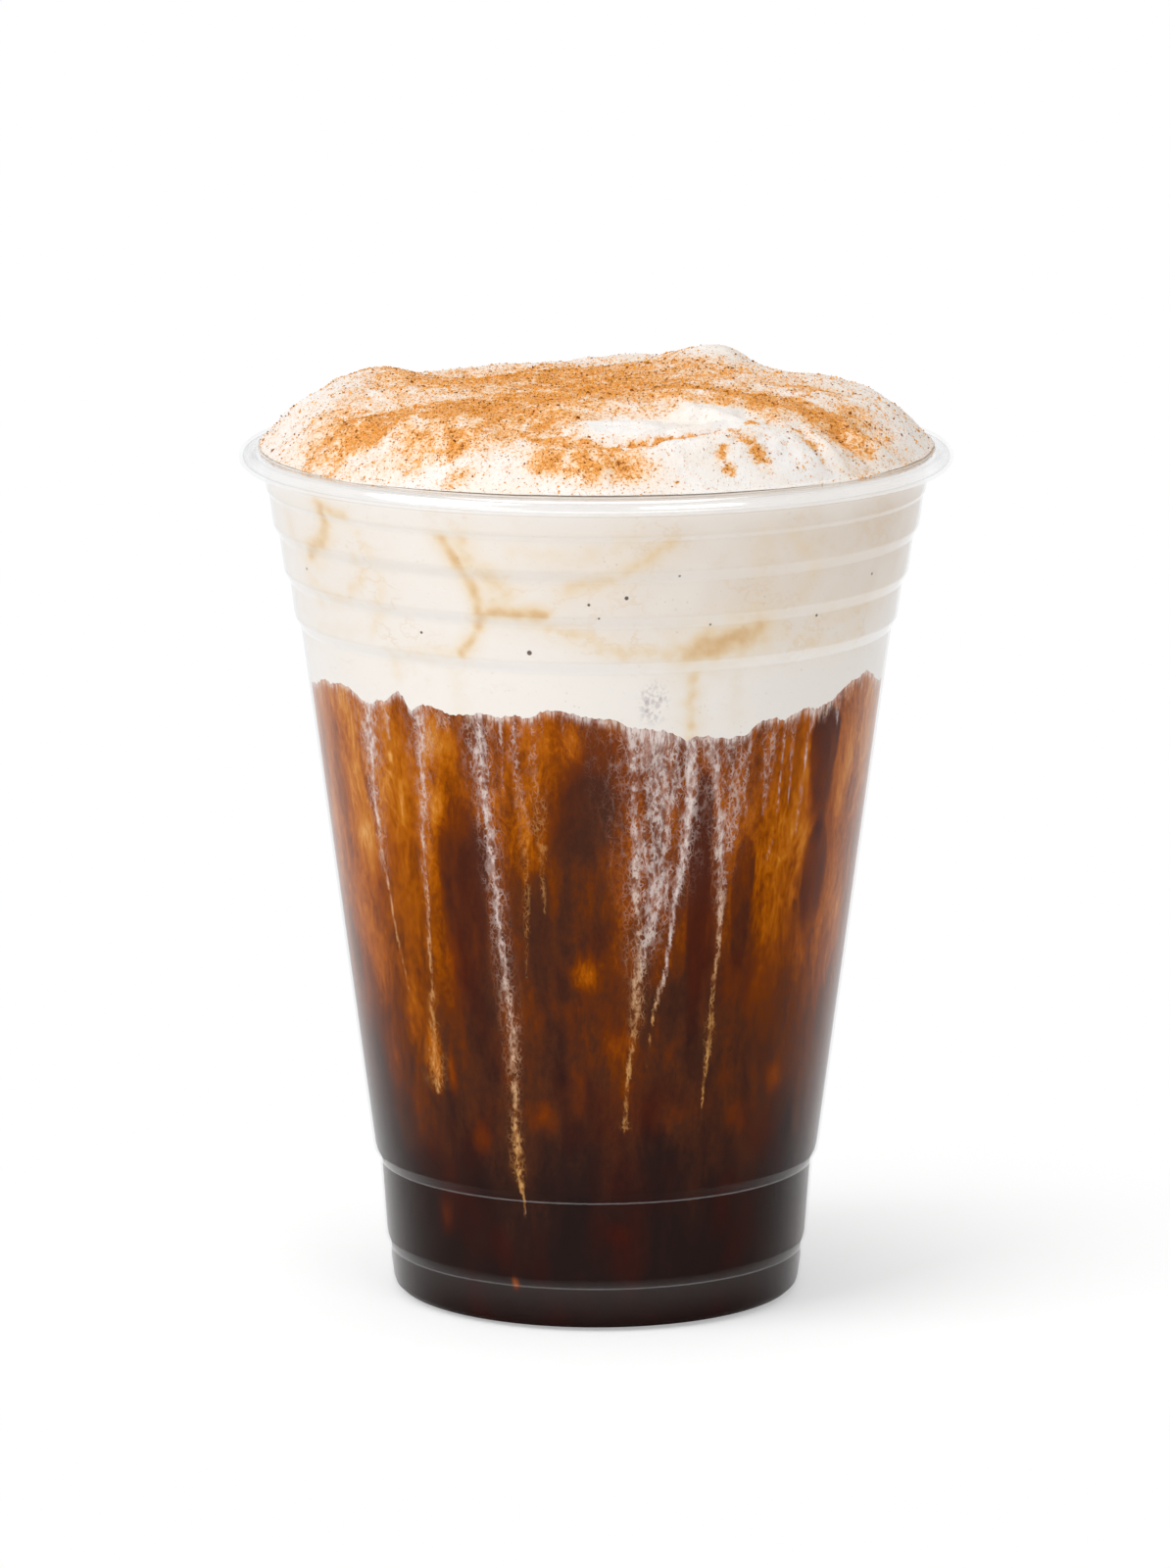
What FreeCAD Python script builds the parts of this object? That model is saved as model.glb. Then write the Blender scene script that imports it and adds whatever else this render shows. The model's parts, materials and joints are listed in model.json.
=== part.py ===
"""Americano with cold foam in a clear, tapered plastic cup.

The cup is one thin sheet, formed and trimmed as a thermoformed cup is: a raised base on a foot ring, a
straight tapered wall with stacking shoulders near its foot and its mouth, and a rim that is rolled
outwards into a bead. The coffee fills it from the base to a wavy level, and the cold foam fills the
rest and stands above the rim as an uneven crown. Millimetres, +Z up, origin at the centre of the base.
"""

import FreeCAD
import Part
import math
import os
from collections import namedtuple

from FreeCAD import Vector

# --- the cup: overall sizes, measured on the sheet's outer surface -------------------------------------
CUP_HEIGHT = 118.3
RIM_RADIUS = 49.0
HEEL_RADIUS = 28.4
WALL = 0.5

# base: a foot ring that the cup stands on, around a raised middle
FOOT_WIDTH = 3.2
HEEL_ROUND = 1.9
FOOT_ROUND = 0.7
PUNT_HEIGHT = 1.8
PUNT_SLOPE_WIDTH = 2.0
PUNT_ROUND = 1.6

# stacking shoulders: at each one the radius jumps by its step, on top of the wall's own draft
FOOT_DRAFT = 0.07
FOOT_SHOULDER_LEVELS = (7.0, 19.3)
FOOT_SHOULDER_STEPS = (0.45, 0.62)
FOOT_SHOULDER_HEIGHT = 1.5
RING_COUNT = 3
RING_PITCH = 6.35
RING_STEP = 0.62
RING_HEIGHT = 1.6
TOP_RING_BELOW_RIM = 11.2
SHOULDER_ROUND = 0.8

# neck step and rolled rim
NECK_BELOW_RIM = 6.1
NECK_STEP = 0.35
NECK_STEP_HEIGHT = 0.6
NECK_ROUND = 0.6
RIM_OVERHANG = 3.04
LEDGE_ROUND = 0.9
BEAD_RADIUS = 1.2
CURL_TUCK = 0.55

# --- the contents -------------------------------------------------------------------------------------
FILL_BELOW_RIM = 1.2
COFFEE_BELOW_RIM = 31.2
CROWN_EDGE = 0.4
CROWN_RISE = 11.6
CROWN_FALL = {2: 0.30, 6: 0.30, 12: 0.40}
CROWN_SWELL_FADE_POWER = 10
SURFACE_OVERHANG = 1.06
SURFACE_CELLS = 44

# A swell is a rounded hump, or with a negative height a hollow, in the foam's top or under side. Its
# height is in millimetres. Its place and half lengths are shares of the radius at the fill level: x is to
# the right, y to the back, and along and across are turned by turn degrees.
Swell = namedtuple("Swell", "x y height along across turn")

CROWN_SWELLS = {
    "back_left_hollow": Swell(-0.40, 0.42, -4.0, 0.20, 0.33, 0.0),
    "back_hollow": Swell(-0.04, 0.48, -2.5, 0.20, 0.31, 0.0),
    "back_peak": Swell(0.36, 0.37, 1.9, 0.13, 0.20, -10.0),
    "left_shoulder": Swell(-0.63, 0.20, 1.4, 0.11, 0.20, 20.0),
    "right_fall": Swell(0.53, 0.44, -1.5, 0.11, 0.20, 20.0),
    "crest": Swell(0.33, -0.45, 1.3, 0.20, 0.10, 6.0),
    "crest_tail": Swell(-0.04, -0.54, 0.7, 0.13, 0.075, 12.0),
    "crease": Swell(0.24, -0.64, -1.8, 0.29, 0.057, 9.0),
    "front_right_mound": Swell(0.40, -0.77, 1.1, 0.24, 0.093, 20.0),
    "right_fold": Swell(0.79, -0.40, -1.4, 0.18, 0.057, 62.0),
    "right_cheek": Swell(0.86, -0.18, 0.9, 0.13, 0.11, 70.0),
    "front_left_mound": Swell(-0.46, -0.66, 1.0, 0.20, 0.11, -30.0),
    "front_left_dip": Swell(-0.62, -0.42, -1.0, 0.18, 0.088, -40.0),
    "front_dip": Swell(-0.13, -0.77, -0.9, 0.10, 0.088, 0.0),
    "left_swell": Swell(-0.77, -0.07, 0.8, 0.20, 0.13, 80.0),
    "middle_hollow": Swell(-0.13, -0.13, -0.8, 0.26, 0.15, 10.0),
    "back_right_fold": Swell(0.57, 0.66, -1.0, 0.18, 0.066, -40.0),
    "back_left_mound": Swell(-0.48, 0.70, 1.1, 0.18, 0.13, 35.0),
    "back_mound": Swell(0.11, 0.84, 0.8, 0.18, 0.11, 5.0),
}

LEVEL_SWELLS = {
    "front_right_sag": Swell(0.40, -0.77, -3.4, 0.20, 0.20, 0.0),
    "front_rise": Swell(-0.13, -0.86, 1.5, 0.20, 0.18, 0.0),
    "left_rise": Swell(-0.64, -0.60, 2.2, 0.24, 0.20, -45.0),
    "far_left_sag": Swell(-0.88, 0.04, -1.2, 0.18, 0.18, 0.0),
    "right_rise": Swell(0.77, -0.44, 2.0, 0.18, 0.18, 0.0),
    "right_sag": Swell(0.86, 0.18, -1.6, 0.20, 0.18, 0.0),
    "back_sag": Swell(0.42, 0.75, -2.6, 0.20, 0.20, 0.0),
    "back_rise": Swell(-0.09, 0.86, 1.8, 0.18, 0.18, 0.0),
    "back_left_sag": Swell(-0.60, 0.62, -2.0, 0.20, 0.18, 45.0),
}

PARTS_FOLDER = "parts"


# --- the cup's profile --------------------------------------------------------------------------------
# A corner is a point of the sheet's outer surface, as radius, height and the round that blends it.
Corner = namedtuple("Corner", "r z round")


def base_corners():
    """The underside, from the axis to the heel."""
    foot_inner_r = HEEL_RADIUS - FOOT_WIDTH
    return [
        Corner(0.0, PUNT_HEIGHT, 0.0),
        Corner(foot_inner_r - PUNT_SLOPE_WIDTH, PUNT_HEIGHT, PUNT_ROUND),
        Corner(foot_inner_r, 0.0, FOOT_ROUND),
        Corner(HEEL_RADIUS, 0.0, HEEL_ROUND),
    ]


def shoulder(below, level, height, step, draft_below, draft_above):
    """The two corners of one stacking shoulder whose middle is at level, above the corner below."""
    low_z = level - height / 2
    low_r = below.r + draft_below * (low_z - below.z)
    high_r = low_r + draft_above * height + step
    return [Corner(low_r, low_z, SHOULDER_ROUND), Corner(high_r, low_z + height, SHOULDER_ROUND)]


def foot_corners(heel, body_draft):
    """The wall's foot with its shoulders, from the heel to the start of the body."""
    corners = []
    below = heel
    drafts_above = [FOOT_DRAFT] * (len(FOOT_SHOULDER_LEVELS) - 1) + [body_draft]
    for level, step, draft_above in zip(FOOT_SHOULDER_LEVELS, FOOT_SHOULDER_STEPS, drafts_above):
        corners += shoulder(below, level, FOOT_SHOULDER_HEIGHT, step, FOOT_DRAFT, draft_above)
        below = corners[-1]
    return corners


def body_corners(foot, body_draft):
    """The body with its stacking rings and the step at its neck, from the foot to the ledge."""
    corners = []
    below = foot
    for ring in reversed(range(RING_COUNT)):
        level = CUP_HEIGHT - TOP_RING_BELOW_RIM - ring * RING_PITCH
        corners += shoulder(below, level, RING_HEIGHT, RING_STEP, body_draft, body_draft)
        below = corners[-1]
    neck_z = CUP_HEIGHT - NECK_BELOW_RIM
    neck_r = below.r + body_draft * (neck_z - below.z)
    corners.append(Corner(neck_r, neck_z, NECK_ROUND))
    corners.append(Corner(neck_r + NECK_STEP, neck_z + NECK_STEP_HEIGHT, NECK_ROUND))
    return corners


def rim_corners():
    """The ledge, and the bead that is rolled outwards and tucked under, whose bore is round."""
    bore = BEAD_RADIUS - WALL
    ledge_z = CUP_HEIGHT - WALL
    outer_r = RIM_RADIUS - WALL
    return [
        Corner(RIM_RADIUS - RIM_OVERHANG, ledge_z, LEDGE_ROUND),
        Corner(outer_r, ledge_z, bore),
        Corner(outer_r, ledge_z - 2 * bore, bore),
        Corner(outer_r - 2 * bore, ledge_z - 2 * bore, bore),
        Corner(outer_r - 2 * bore, ledge_z - bore + CURL_TUCK * bore, 0.0),
    ]


def draft_to_reach(foot_start, ledge):
    """How much the body's radius grows for each millimetre of height, so that it meets the ledge."""
    jumps = FOOT_SHOULDER_STEPS[-1] + RING_COUNT * RING_STEP + NECK_STEP
    return (ledge.r - foot_start.r - jumps) / (ledge.z - foot_start.z - NECK_STEP_HEIGHT)


def sheet_corners():
    """The whole outer surface of the sheet, from the base's centre to the tucked edge of the bead."""
    base = base_corners()
    rim = rim_corners()
    body_start = foot_corners(base[-1], FOOT_DRAFT)[-2]
    body_draft = draft_to_reach(body_start, rim[0])
    foot = foot_corners(base[-1], body_draft)
    return base + foot + body_corners(foot[-1], body_draft) + rim


def direction(a, b):
    """Unit vector from corner a to corner b, as radius and height."""
    length = math.hypot(b.r - a.r, b.z - a.z)
    return (b.r - a.r) / length, (b.z - a.z) / length


def moved_inwards(corners, distance):
    """The corners of the sheet's inner surface: the outer one moved to its left by distance."""
    moved = []
    for i, corner in enumerate(corners):
        arriving = direction(corners[i - 1], corner) if i else direction(corner, corners[i + 1])
        leaving = direction(corner, corners[i + 1]) if i + 1 < len(corners) else arriving
        left = (-arriving[1] - leaving[1], arriving[0] + leaving[0])
        size = math.hypot(*left)
        left = (left[0] / size, left[1] / size)
        along = left[0] * -arriving[1] + left[1] * arriving[0]
        turns_left = arriving[0] * leaving[1] - arriving[1] * leaving[0] > 0
        round_ = max(0.0, corner.round + (-distance if turns_left else distance))
        shift = distance / along
        moved.append(Corner(corner.r + left[0] * shift, corner.z + left[1] * shift, round_))
    return moved


def at(corner):
    """A corner as a point of the XZ plane."""
    return Vector(corner.r, 0.0, corner.z)


def rounded_edges(corners):
    """Straight edges between the corners, with a tangent arc at each corner that has a round."""
    edges = []
    start = at(corners[0])
    for before, corner, after in zip(corners, corners[1:], corners[2:]):
        if corner.round <= 0.0:
            edges.append(Part.LineSegment(start, at(corner)).toShape())
            start = at(corner)
            continue
        back = (at(before) - at(corner)).normalize()
        on = (at(after) - at(corner)).normalize()
        half_angle = back.getAngle(on) / 2
        reach = corner.round / math.tan(half_angle)
        middle = (back + on).normalize() * (corner.round / math.sin(half_angle) - corner.round)
        arc_start = at(corner) + back * reach
        arc_end = at(corner) + on * reach
        if (arc_start - start).Length > 1e-6:
            edges.append(Part.LineSegment(start, arc_start).toShape())
        edges.append(Part.Arc(arc_start, at(corner) + middle, arc_end).toShape())
        start = arc_end
    edges.append(Part.LineSegment(start, at(corners[-1])).toShape())
    return edges


def revolved(edges):
    """The solid that a closed outline of edges sweeps in one turn about the Z axis."""
    face = Part.Face(Part.Wire(Part.__sortEdges__(edges)))
    solid = face.revolve(Vector(0, 0, 0), Vector(0, 0, 1), 360)
    return solid if solid.Volume > 0 else solid.reversed()


def make_cup():
    """The cup: the sheet between its outer and inner surfaces."""
    outer = sheet_corners()
    inner = moved_inwards(outer, WALL)
    outline = rounded_edges(outer) + rounded_edges(inner)
    outline.append(Part.LineSegment(at(outer[-1]), at(inner[-1])).toShape())
    outline.append(Part.LineSegment(at(outer[0]), at(inner[0])).toShape())
    return revolved(outline)


# --- the contents -------------------------------------------------------------------------------------
def fill_level():
    """The height at which the foam leaves the cup's wall."""
    return CUP_HEIGHT - FILL_BELOW_RIM


def inner_wall_to_fill_level():
    """The corners of the inner surface from the base's centre up to the fill level, cut off there."""
    kept = []
    for corner in moved_inwards(sheet_corners(), WALL):
        if corner.z >= fill_level():
            below = kept[-1]
            share = (fill_level() - below.z) / (corner.z - below.z)
            kept.append(Corner(below.r + share * (corner.r - below.r), fill_level(), 0.0))
            return kept
        kept.append(corner)
    raise ValueError("the inner wall never reaches the fill level")


def make_room(top):
    """The room inside the cup, carried straight up from the fill level to the height top."""
    wall = inner_wall_to_fill_level()
    lip = wall[-1]
    lid = [Corner(lip.r, top, 0.0), Corner(0.0, top, 0.0), wall[0]]
    edges = rounded_edges(wall)
    for a, b in zip([lip] + lid, lid):
        edges.append(Part.LineSegment(at(a), at(b)).toShape())
    return revolved(edges)


def swelling(swells, x_share, y_share):
    """How far the swells lift a surface at a place given as shares of the radius at the fill level."""
    lift = 0.0
    for swell in swells.values():
        turn = math.radians(swell.turn)
        dx, dy = x_share - swell.x, y_share - swell.y
        u = (dx * math.cos(turn) + dy * math.sin(turn)) / swell.along
        v = (-dx * math.sin(turn) + dy * math.cos(turn)) / swell.across
        lift += swell.height * math.exp(-(u * u + v * v))
    return lift


def crown_height(x_share, y_share):
    """The foam's top: a full, flattened pillow that falls to a low edge at the wall, with its swells.

    The fall is a sum of powers of the share of the way to the wall. Beyond the wall, where nothing of
    it is kept, it goes on as a straight slope, so the surface stays smooth up to its trimmed edge.
    """
    share = math.hypot(x_share, y_share)
    near = min(share, SURFACE_OVERHANG)
    fall = sum(part * near ** power for power, part in CROWN_FALL.items())
    slope = sum(part * power * near ** (power - 1) for power, part in CROWN_FALL.items())
    fall += slope * (share - near)
    fade = max(0.0, 1.0 - share ** CROWN_SWELL_FADE_POWER)
    pillow = CROWN_EDGE + CROWN_RISE * (1.0 - fall)
    return fill_level() + pillow + fade * swelling(CROWN_SWELLS, x_share, y_share)


def coffee_height(x_share, y_share):
    """The wavy level between the coffee and the foam."""
    return CUP_HEIGHT - COFFEE_BELOW_RIM + swelling(LEVEL_SWELLS, x_share, y_share)


def slab_under(height, fill_radius):
    """A solid of all that lies under a height function of shares of the fill radius."""
    shares = [SURFACE_OVERHANG * (2 * i / SURFACE_CELLS - 1) for i in range(SURFACE_CELLS + 1)]
    rows = [[Vector(x * fill_radius, y * fill_radius, height(x, y)) for y in shares] for x in shares]
    surface = Part.BSplineSurface()
    surface.interpolate(rows)
    slab = surface.toShape().extrude(Vector(0, 0, -2 * CUP_HEIGHT))
    return slab if slab.Volume > 0 else slab.reversed()


def make_contents():
    """The coffee below the wavy level, and the foam above it up to its crown."""
    fill_radius = inner_wall_to_fill_level()[-1].r
    room = make_room(fill_level() + 2 * CROWN_RISE)
    coffee_slab = slab_under(coffee_height, fill_radius)
    crown_slab = slab_under(crown_height, fill_radius)
    coffee = room.common(coffee_slab)
    foam = room.cut(coffee_slab).common(crown_slab)
    return coffee, foam


def only_solid(shape):
    """The shape's one solid, as a bare solid."""
    if len(shape.Solids) != 1:
        raise ValueError("expected one solid, and found %d" % len(shape.Solids))
    return shape.Solids[0]


def main():
    os.makedirs(PARTS_FOLDER, exist_ok=True)
    coffee, foam = make_contents()
    nodes = {"cup": make_cup(), "coffee": coffee, "cold_foam": foam}
    for name, shape in nodes.items():
        solid = only_solid(shape)
        box = solid.BoundBox
        print("%-10s valid %s  volume %.1f ml  z %.2f to %.2f  width %.2f" % (
            name, solid.isValid(), solid.Volume / 1000, box.ZMin, box.ZMax, box.XLength))
        solid.exportStep(os.path.join(PARTS_FOLDER, name + ".step"))


main()
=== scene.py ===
"""An americano with cold foam, served in a clear tapered plastic cup.

The cup is a thin formed sheet with a rolled rim. The coffee, the foam layer with its crown and the cinnamon
on it are separate pieces. Lengths of the drink are in millimetres. The meshes, the grain of the materials and
the studio are in metres.
"""

from __future__ import annotations

import json
import logging
import math
import random
from contextlib import contextmanager
from dataclasses import dataclass
from enum import Enum
from typing import Callable, Iterator, NamedTuple, Sequence, Union

import bpy
import numpy as np
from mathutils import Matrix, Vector, noise
from mathutils.bvhtree import BVHTree

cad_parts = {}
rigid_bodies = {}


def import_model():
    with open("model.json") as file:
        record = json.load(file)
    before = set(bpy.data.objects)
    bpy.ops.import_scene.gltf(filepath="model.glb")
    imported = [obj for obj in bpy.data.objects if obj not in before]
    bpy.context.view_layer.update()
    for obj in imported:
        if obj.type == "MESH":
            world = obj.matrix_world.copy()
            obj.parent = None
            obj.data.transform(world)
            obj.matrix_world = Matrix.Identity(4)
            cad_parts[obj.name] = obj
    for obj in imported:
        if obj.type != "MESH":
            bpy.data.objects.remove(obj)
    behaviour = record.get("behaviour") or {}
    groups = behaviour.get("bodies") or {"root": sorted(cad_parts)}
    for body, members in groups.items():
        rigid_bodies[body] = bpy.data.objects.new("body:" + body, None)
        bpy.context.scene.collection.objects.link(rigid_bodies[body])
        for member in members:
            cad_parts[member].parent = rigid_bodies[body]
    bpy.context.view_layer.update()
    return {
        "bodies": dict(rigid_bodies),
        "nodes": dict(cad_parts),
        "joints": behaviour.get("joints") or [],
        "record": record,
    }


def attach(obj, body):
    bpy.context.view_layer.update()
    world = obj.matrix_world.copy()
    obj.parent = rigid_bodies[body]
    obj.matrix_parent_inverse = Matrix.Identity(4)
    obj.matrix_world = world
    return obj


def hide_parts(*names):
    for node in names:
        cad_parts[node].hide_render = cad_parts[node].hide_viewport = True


MM = 0.001
LOG = logging.getLogger("drink")
FRAME: dict[str, dict] = {}

Value = Union["Signal", float, int]
Colour = tuple[float, float, float, float]
Points = Sequence[tuple[float, float]]
WHITE: Colour = (1.0, 1.0, 1.0, 1.0)


# --- drawing node trees --------------------------------------------------------------------------------


def paint(code: str) -> Colour:
    """A colour written as six hex digits of sRGB, as the linear colour that a shader takes.

    Args:
        code: The hex digits, such as "c8a070".

    Returns:
        Red, green, blue and an alpha of one.
    """
    parts = [int(code[i:i + 2], 16) / 255 for i in (0, 2, 4)]
    linear = [p / 12.92 if p <= 0.04045 else ((p + 0.055) / 1.055) ** 2.4 for p in parts]
    return linear[0], linear[1], linear[2], 1.0


class Signal:
    """A value in a node tree that takes part in Python arithmetic by adding Math nodes."""

    def __init__(self, sheet: "Sheet", socket: bpy.types.NodeSocket) -> None:
        """Keeps the tree and the socket that the value comes from."""
        self.sheet = sheet
        self.socket = socket

    def math(self, operation: str, *others: Value, swapped: bool = False) -> "Signal":
        """Adds one Math node.

        Args:
            operation: The node's operation.
            others: The further operands.
            swapped: Whether this value is the second operand.

        Returns:
            The node's result.
        """
        operands = (*others, self) if swapped else (self, *others)
        made = self.sheet.node("ShaderNodeMath", {"operation": operation}, dict(enumerate(operands)))
        return Signal(self.sheet, made.outputs[0])

    def __add__(self, other: Value) -> "Signal":
        """The sum."""
        return self.math("ADD", other)

    __radd__ = __add__

    def __mul__(self, other: Value) -> "Signal":
        """The product."""
        return self.math("MULTIPLY", other)

    __rmul__ = __mul__

    def __sub__(self, other: Value) -> "Signal":
        """The difference."""
        return self.math("SUBTRACT", other)

    def __rsub__(self, other: Value) -> "Signal":
        """The difference, with this value taken away."""
        return self.math("SUBTRACT", other, swapped=True)

    def __truediv__(self, other: Value) -> "Signal":
        """The quotient."""
        return self.math("DIVIDE", other)

    def __rtruediv__(self, other: Value) -> "Signal":
        """The quotient, with this value below the line."""
        return self.math("DIVIDE", other, swapped=True)

    def __pow__(self, other: Value) -> "Signal":
        """This value raised to a power."""
        return self.math("POWER", other)

    def __neg__(self) -> "Signal":
        """This value with its sign turned."""
        return self * -1.0

    def __abs__(self) -> "Signal":
        """This value without its sign."""
        return self.math("ABSOLUTE")

    def at_least(self, other: Value) -> "Signal":
        """The larger of the two."""
        return self.math("MAXIMUM", other)

    def at_most(self, other: Value) -> "Signal":
        """The smaller of the two."""
        return self.math("MINIMUM", other)

    def eased(self, none: float, full: float) -> "Signal":
        """Goes smoothly from 0 to 1 as this value goes from none to full, which may be the smaller one.

        Args:
            none: The value that gives 0.
            full: The value that gives 1.

        Returns:
            How far this value has come, from 0 to 1.
        """
        settings = {"interpolation_type": "SMOOTHSTEP"}
        low, high = min(none, full), max(none, full)
        inputs = {"Value": self, "From Min": low, "From Max": high, "To Min": 0.0, "To Max": 1.0}
        up = Signal(self.sheet, self.sheet.node("ShaderNodeMapRange", settings, inputs).outputs["Result"])
        return up if none < full else 1.0 - up

    def along(self, points: Points) -> "Signal":
        """Reads a smooth curve at this value.

        Args:
            points: The curve's points, by rising place.

        Returns:
            The curve's height, which stays level beyond its two ends.
        """
        places = [p[0] for p in points]
        heights = [p[1] for p in points]
        low, span = min(heights), max(max(heights) - min(heights), 1e-6)
        share = ((self - places[0]) / (places[-1] - places[0])).at_least(0.0).at_most(1.0)
        made = self.sheet.node("ShaderNodeFloatCurve", {}, {"Value": share})
        curve = made.mapping.curves[0]
        stops = [((p - places[0]) / (places[-1] - places[0]), (h - low) / span) for p, h in points]
        curve.points[0].location, curve.points[-1].location = stops[0], stops[-1]
        for stop in stops[1:-1]:
            curve.points.new(*stop)
        made.mapping.update()
        return Signal(self.sheet, made.outputs["Value"]) * span + low


class Sheet:
    """A node tree that is being drawn."""

    def __init__(self, tree: bpy.types.NodeTree) -> None:
        """Takes a tree and empties it."""
        self.tree = tree
        tree.nodes.clear()

    def node(self, kind: str, settings: dict | None = None, inputs: dict | None = None) -> bpy.types.Node:
        """Adds any node.

        Args:
            kind: The node's type.
            settings: Properties, which are set before the sockets.
            inputs: Values or links by socket name or number.

        Returns:
            The node.
        """
        made = self.tree.nodes.new(kind)
        for name, value in (settings or {}).items():
            setattr(made, name, value)
        for name, value in (inputs or {}).items():
            socket = made.inputs[name]
            if isinstance(value, Signal):
                value = value.socket
            if isinstance(value, bpy.types.NodeSocket):
                self.tree.links.new(value, socket)
            else:
                socket.default_value = value
        return made

    def place(self) -> "Place":
        """Where the shaded point lies on the piece."""
        coordinates = self.node("ShaderNodeTexCoord").outputs["Object"]
        return Place(self, coordinates)

    def attribute(self, name: str) -> Signal:
        """A number painted on the mesh."""
        return Signal(self, self.node("ShaderNodeAttribute", {"attribute_name": name}).outputs["Fac"])

    def noise(self, vector: bpy.types.NodeSocket, grain: "Grain") -> Signal:
        """Cloudy noise about a half.

        Args:
            vector: Where the noise is read.
            grain: What the noise is like.

        Returns:
            The noise.
        """
        made = self.node("ShaderNodeTexNoise", {}, {
            "Vector": vector, "Scale": 1.0 / grain.size, "Detail": grain.detail, "Roughness": grain.rough,
            "Distortion": grain.swirl})
        return Signal(self, made.outputs["Fac"])

    def cells(self, vector: bpy.types.NodeSocket, grain: float, feature: "Cell") -> Signal:
        """Distances in a pattern of irregular cells.

        Args:
            vector: Where the pattern is read.
            grain: The size of its cells, in metres.
            feature: What is measured.

        Returns:
            The distance, as a share of a cell.
        """
        inputs = {"Vector": vector, "Scale": 1.0 / grain}
        made = self.node("ShaderNodeTexVoronoi", {"feature": feature.value}, inputs)
        return Signal(self, made.outputs["Distance"])

    def mix(self, share: Value, start: object, end: object) -> bpy.types.NodeSocket:
        """A blend of two colours.

        Args:
            share: How much of the end colour shows, from 0 to 1.
            start: The colour where the share is 0.
            end: The colour where the share is 1.

        Returns:
            The blended colour.
        """
        made = self.tree.nodes.new("ShaderNodeMix")
        made.data_type = "RGBA"
        for name, value in (("Factor_Float", share), ("A_Color", start), ("B_Color", end)):
            socket = next(s for s in made.inputs if s.identifier == name)
            value = value.socket if isinstance(value, Signal) else value
            if isinstance(value, bpy.types.NodeSocket):
                self.tree.links.new(value, socket)
            else:
                socket.default_value = value
        return next(s for s in made.outputs if s.identifier == "Result_Color")

    def bump(self, height: Signal, depth: float) -> bpy.types.NodeSocket:
        """The normal of a surface whose height swings by depth metres."""
        inputs = {"Height": height, "Distance": depth, "Strength": 1.0}
        return self.node("ShaderNodeBump", {}, inputs).outputs["Normal"]


class Cell(Enum):
    """What is measured in a pattern of cells."""

    CENTRE = "F1"
    EDGE = "DISTANCE_TO_EDGE"


class Grain(NamedTuple):
    """A layer of cloudy noise in a material: the size of its lumps in metres, and how it is drawn out."""

    size: float
    upright: float = 1.0
    detail: float = 2.0
    rough: float = 0.5
    swirl: float = 0.0


class Place:
    """Where a point lies: in metres, and as the angle and height about the cup's axis."""

    def __init__(self, sheet: Sheet, vector: bpy.types.NodeSocket) -> None:
        """Splits a position into its parts.

        Args:
            sheet: The tree to draw in.
            vector: The position.
        """
        self.sheet = sheet
        self.vector = vector
        split = sheet.node("ShaderNodeSeparateXYZ", {}, {0: vector})
        self.x, self.y, self.z = (Signal(sheet, s) for s in split.outputs)
        self.height = self.z / MM
        self.angle = self.x.math("ARCTAN2", -self.y) * math.degrees(1.0)

    def squeezed(self, upright: float, shift: Value = 0.0) -> bpy.types.NodeSocket:
        """The position with its height scaled by upright, so that a pattern on it is drawn out."""
        parts = {"X": self.x + shift, "Y": self.y, "Z": self.z * upright}
        return self.sheet.node("ShaderNodeCombineXYZ", {}, parts).outputs["Vector"]

    def clouds(self, grain: Grain) -> Signal:
        """Cloudy noise about a half, drawn out as its grain says."""
        vector = self.vector if grain.upright == 1.0 else self.squeezed(grain.upright)
        return self.sheet.noise(vector, grain)


@dataclass(frozen=True)
class Finish:
    """A surface finish: the settings that are the same all over it."""

    name: str
    roughness: float = 0.5
    specular: float = 0.5
    subsurface: float = 0.0
    scatter: tuple[float, float, float] = (1.0, 1.0, 1.0)
    scatter_depth: float = 0.001

    def start(self) -> tuple[bpy.types.Material, Sheet, dict[str, object]]:
        """Opens a new material.

        Returns:
            The material, its empty sheet and the shader's constant inputs.
        """
        material = bpy.data.materials.new(self.name)
        material.use_nodes = True
        constants = {
            "Roughness": self.roughness,
            "Specular IOR Level": self.specular,
            "Subsurface Weight": self.subsurface,
            "Subsurface Radius": self.scatter,
            "Subsurface Scale": self.scatter_depth,
        }
        return material, Sheet(material.node_tree), constants

    def close(self, sheet: Sheet, inputs: dict[str, object]) -> None:
        """Adds the shader with its inputs and the output."""
        shader = sheet.node("ShaderNodeBsdfPrincipled", {}, inputs)
        sheet.node("ShaderNodeOutputMaterial", {}, {"Surface": shader.outputs["BSDF"]})


# --- modelling -----------------------------------------------------------------------------------------


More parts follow.
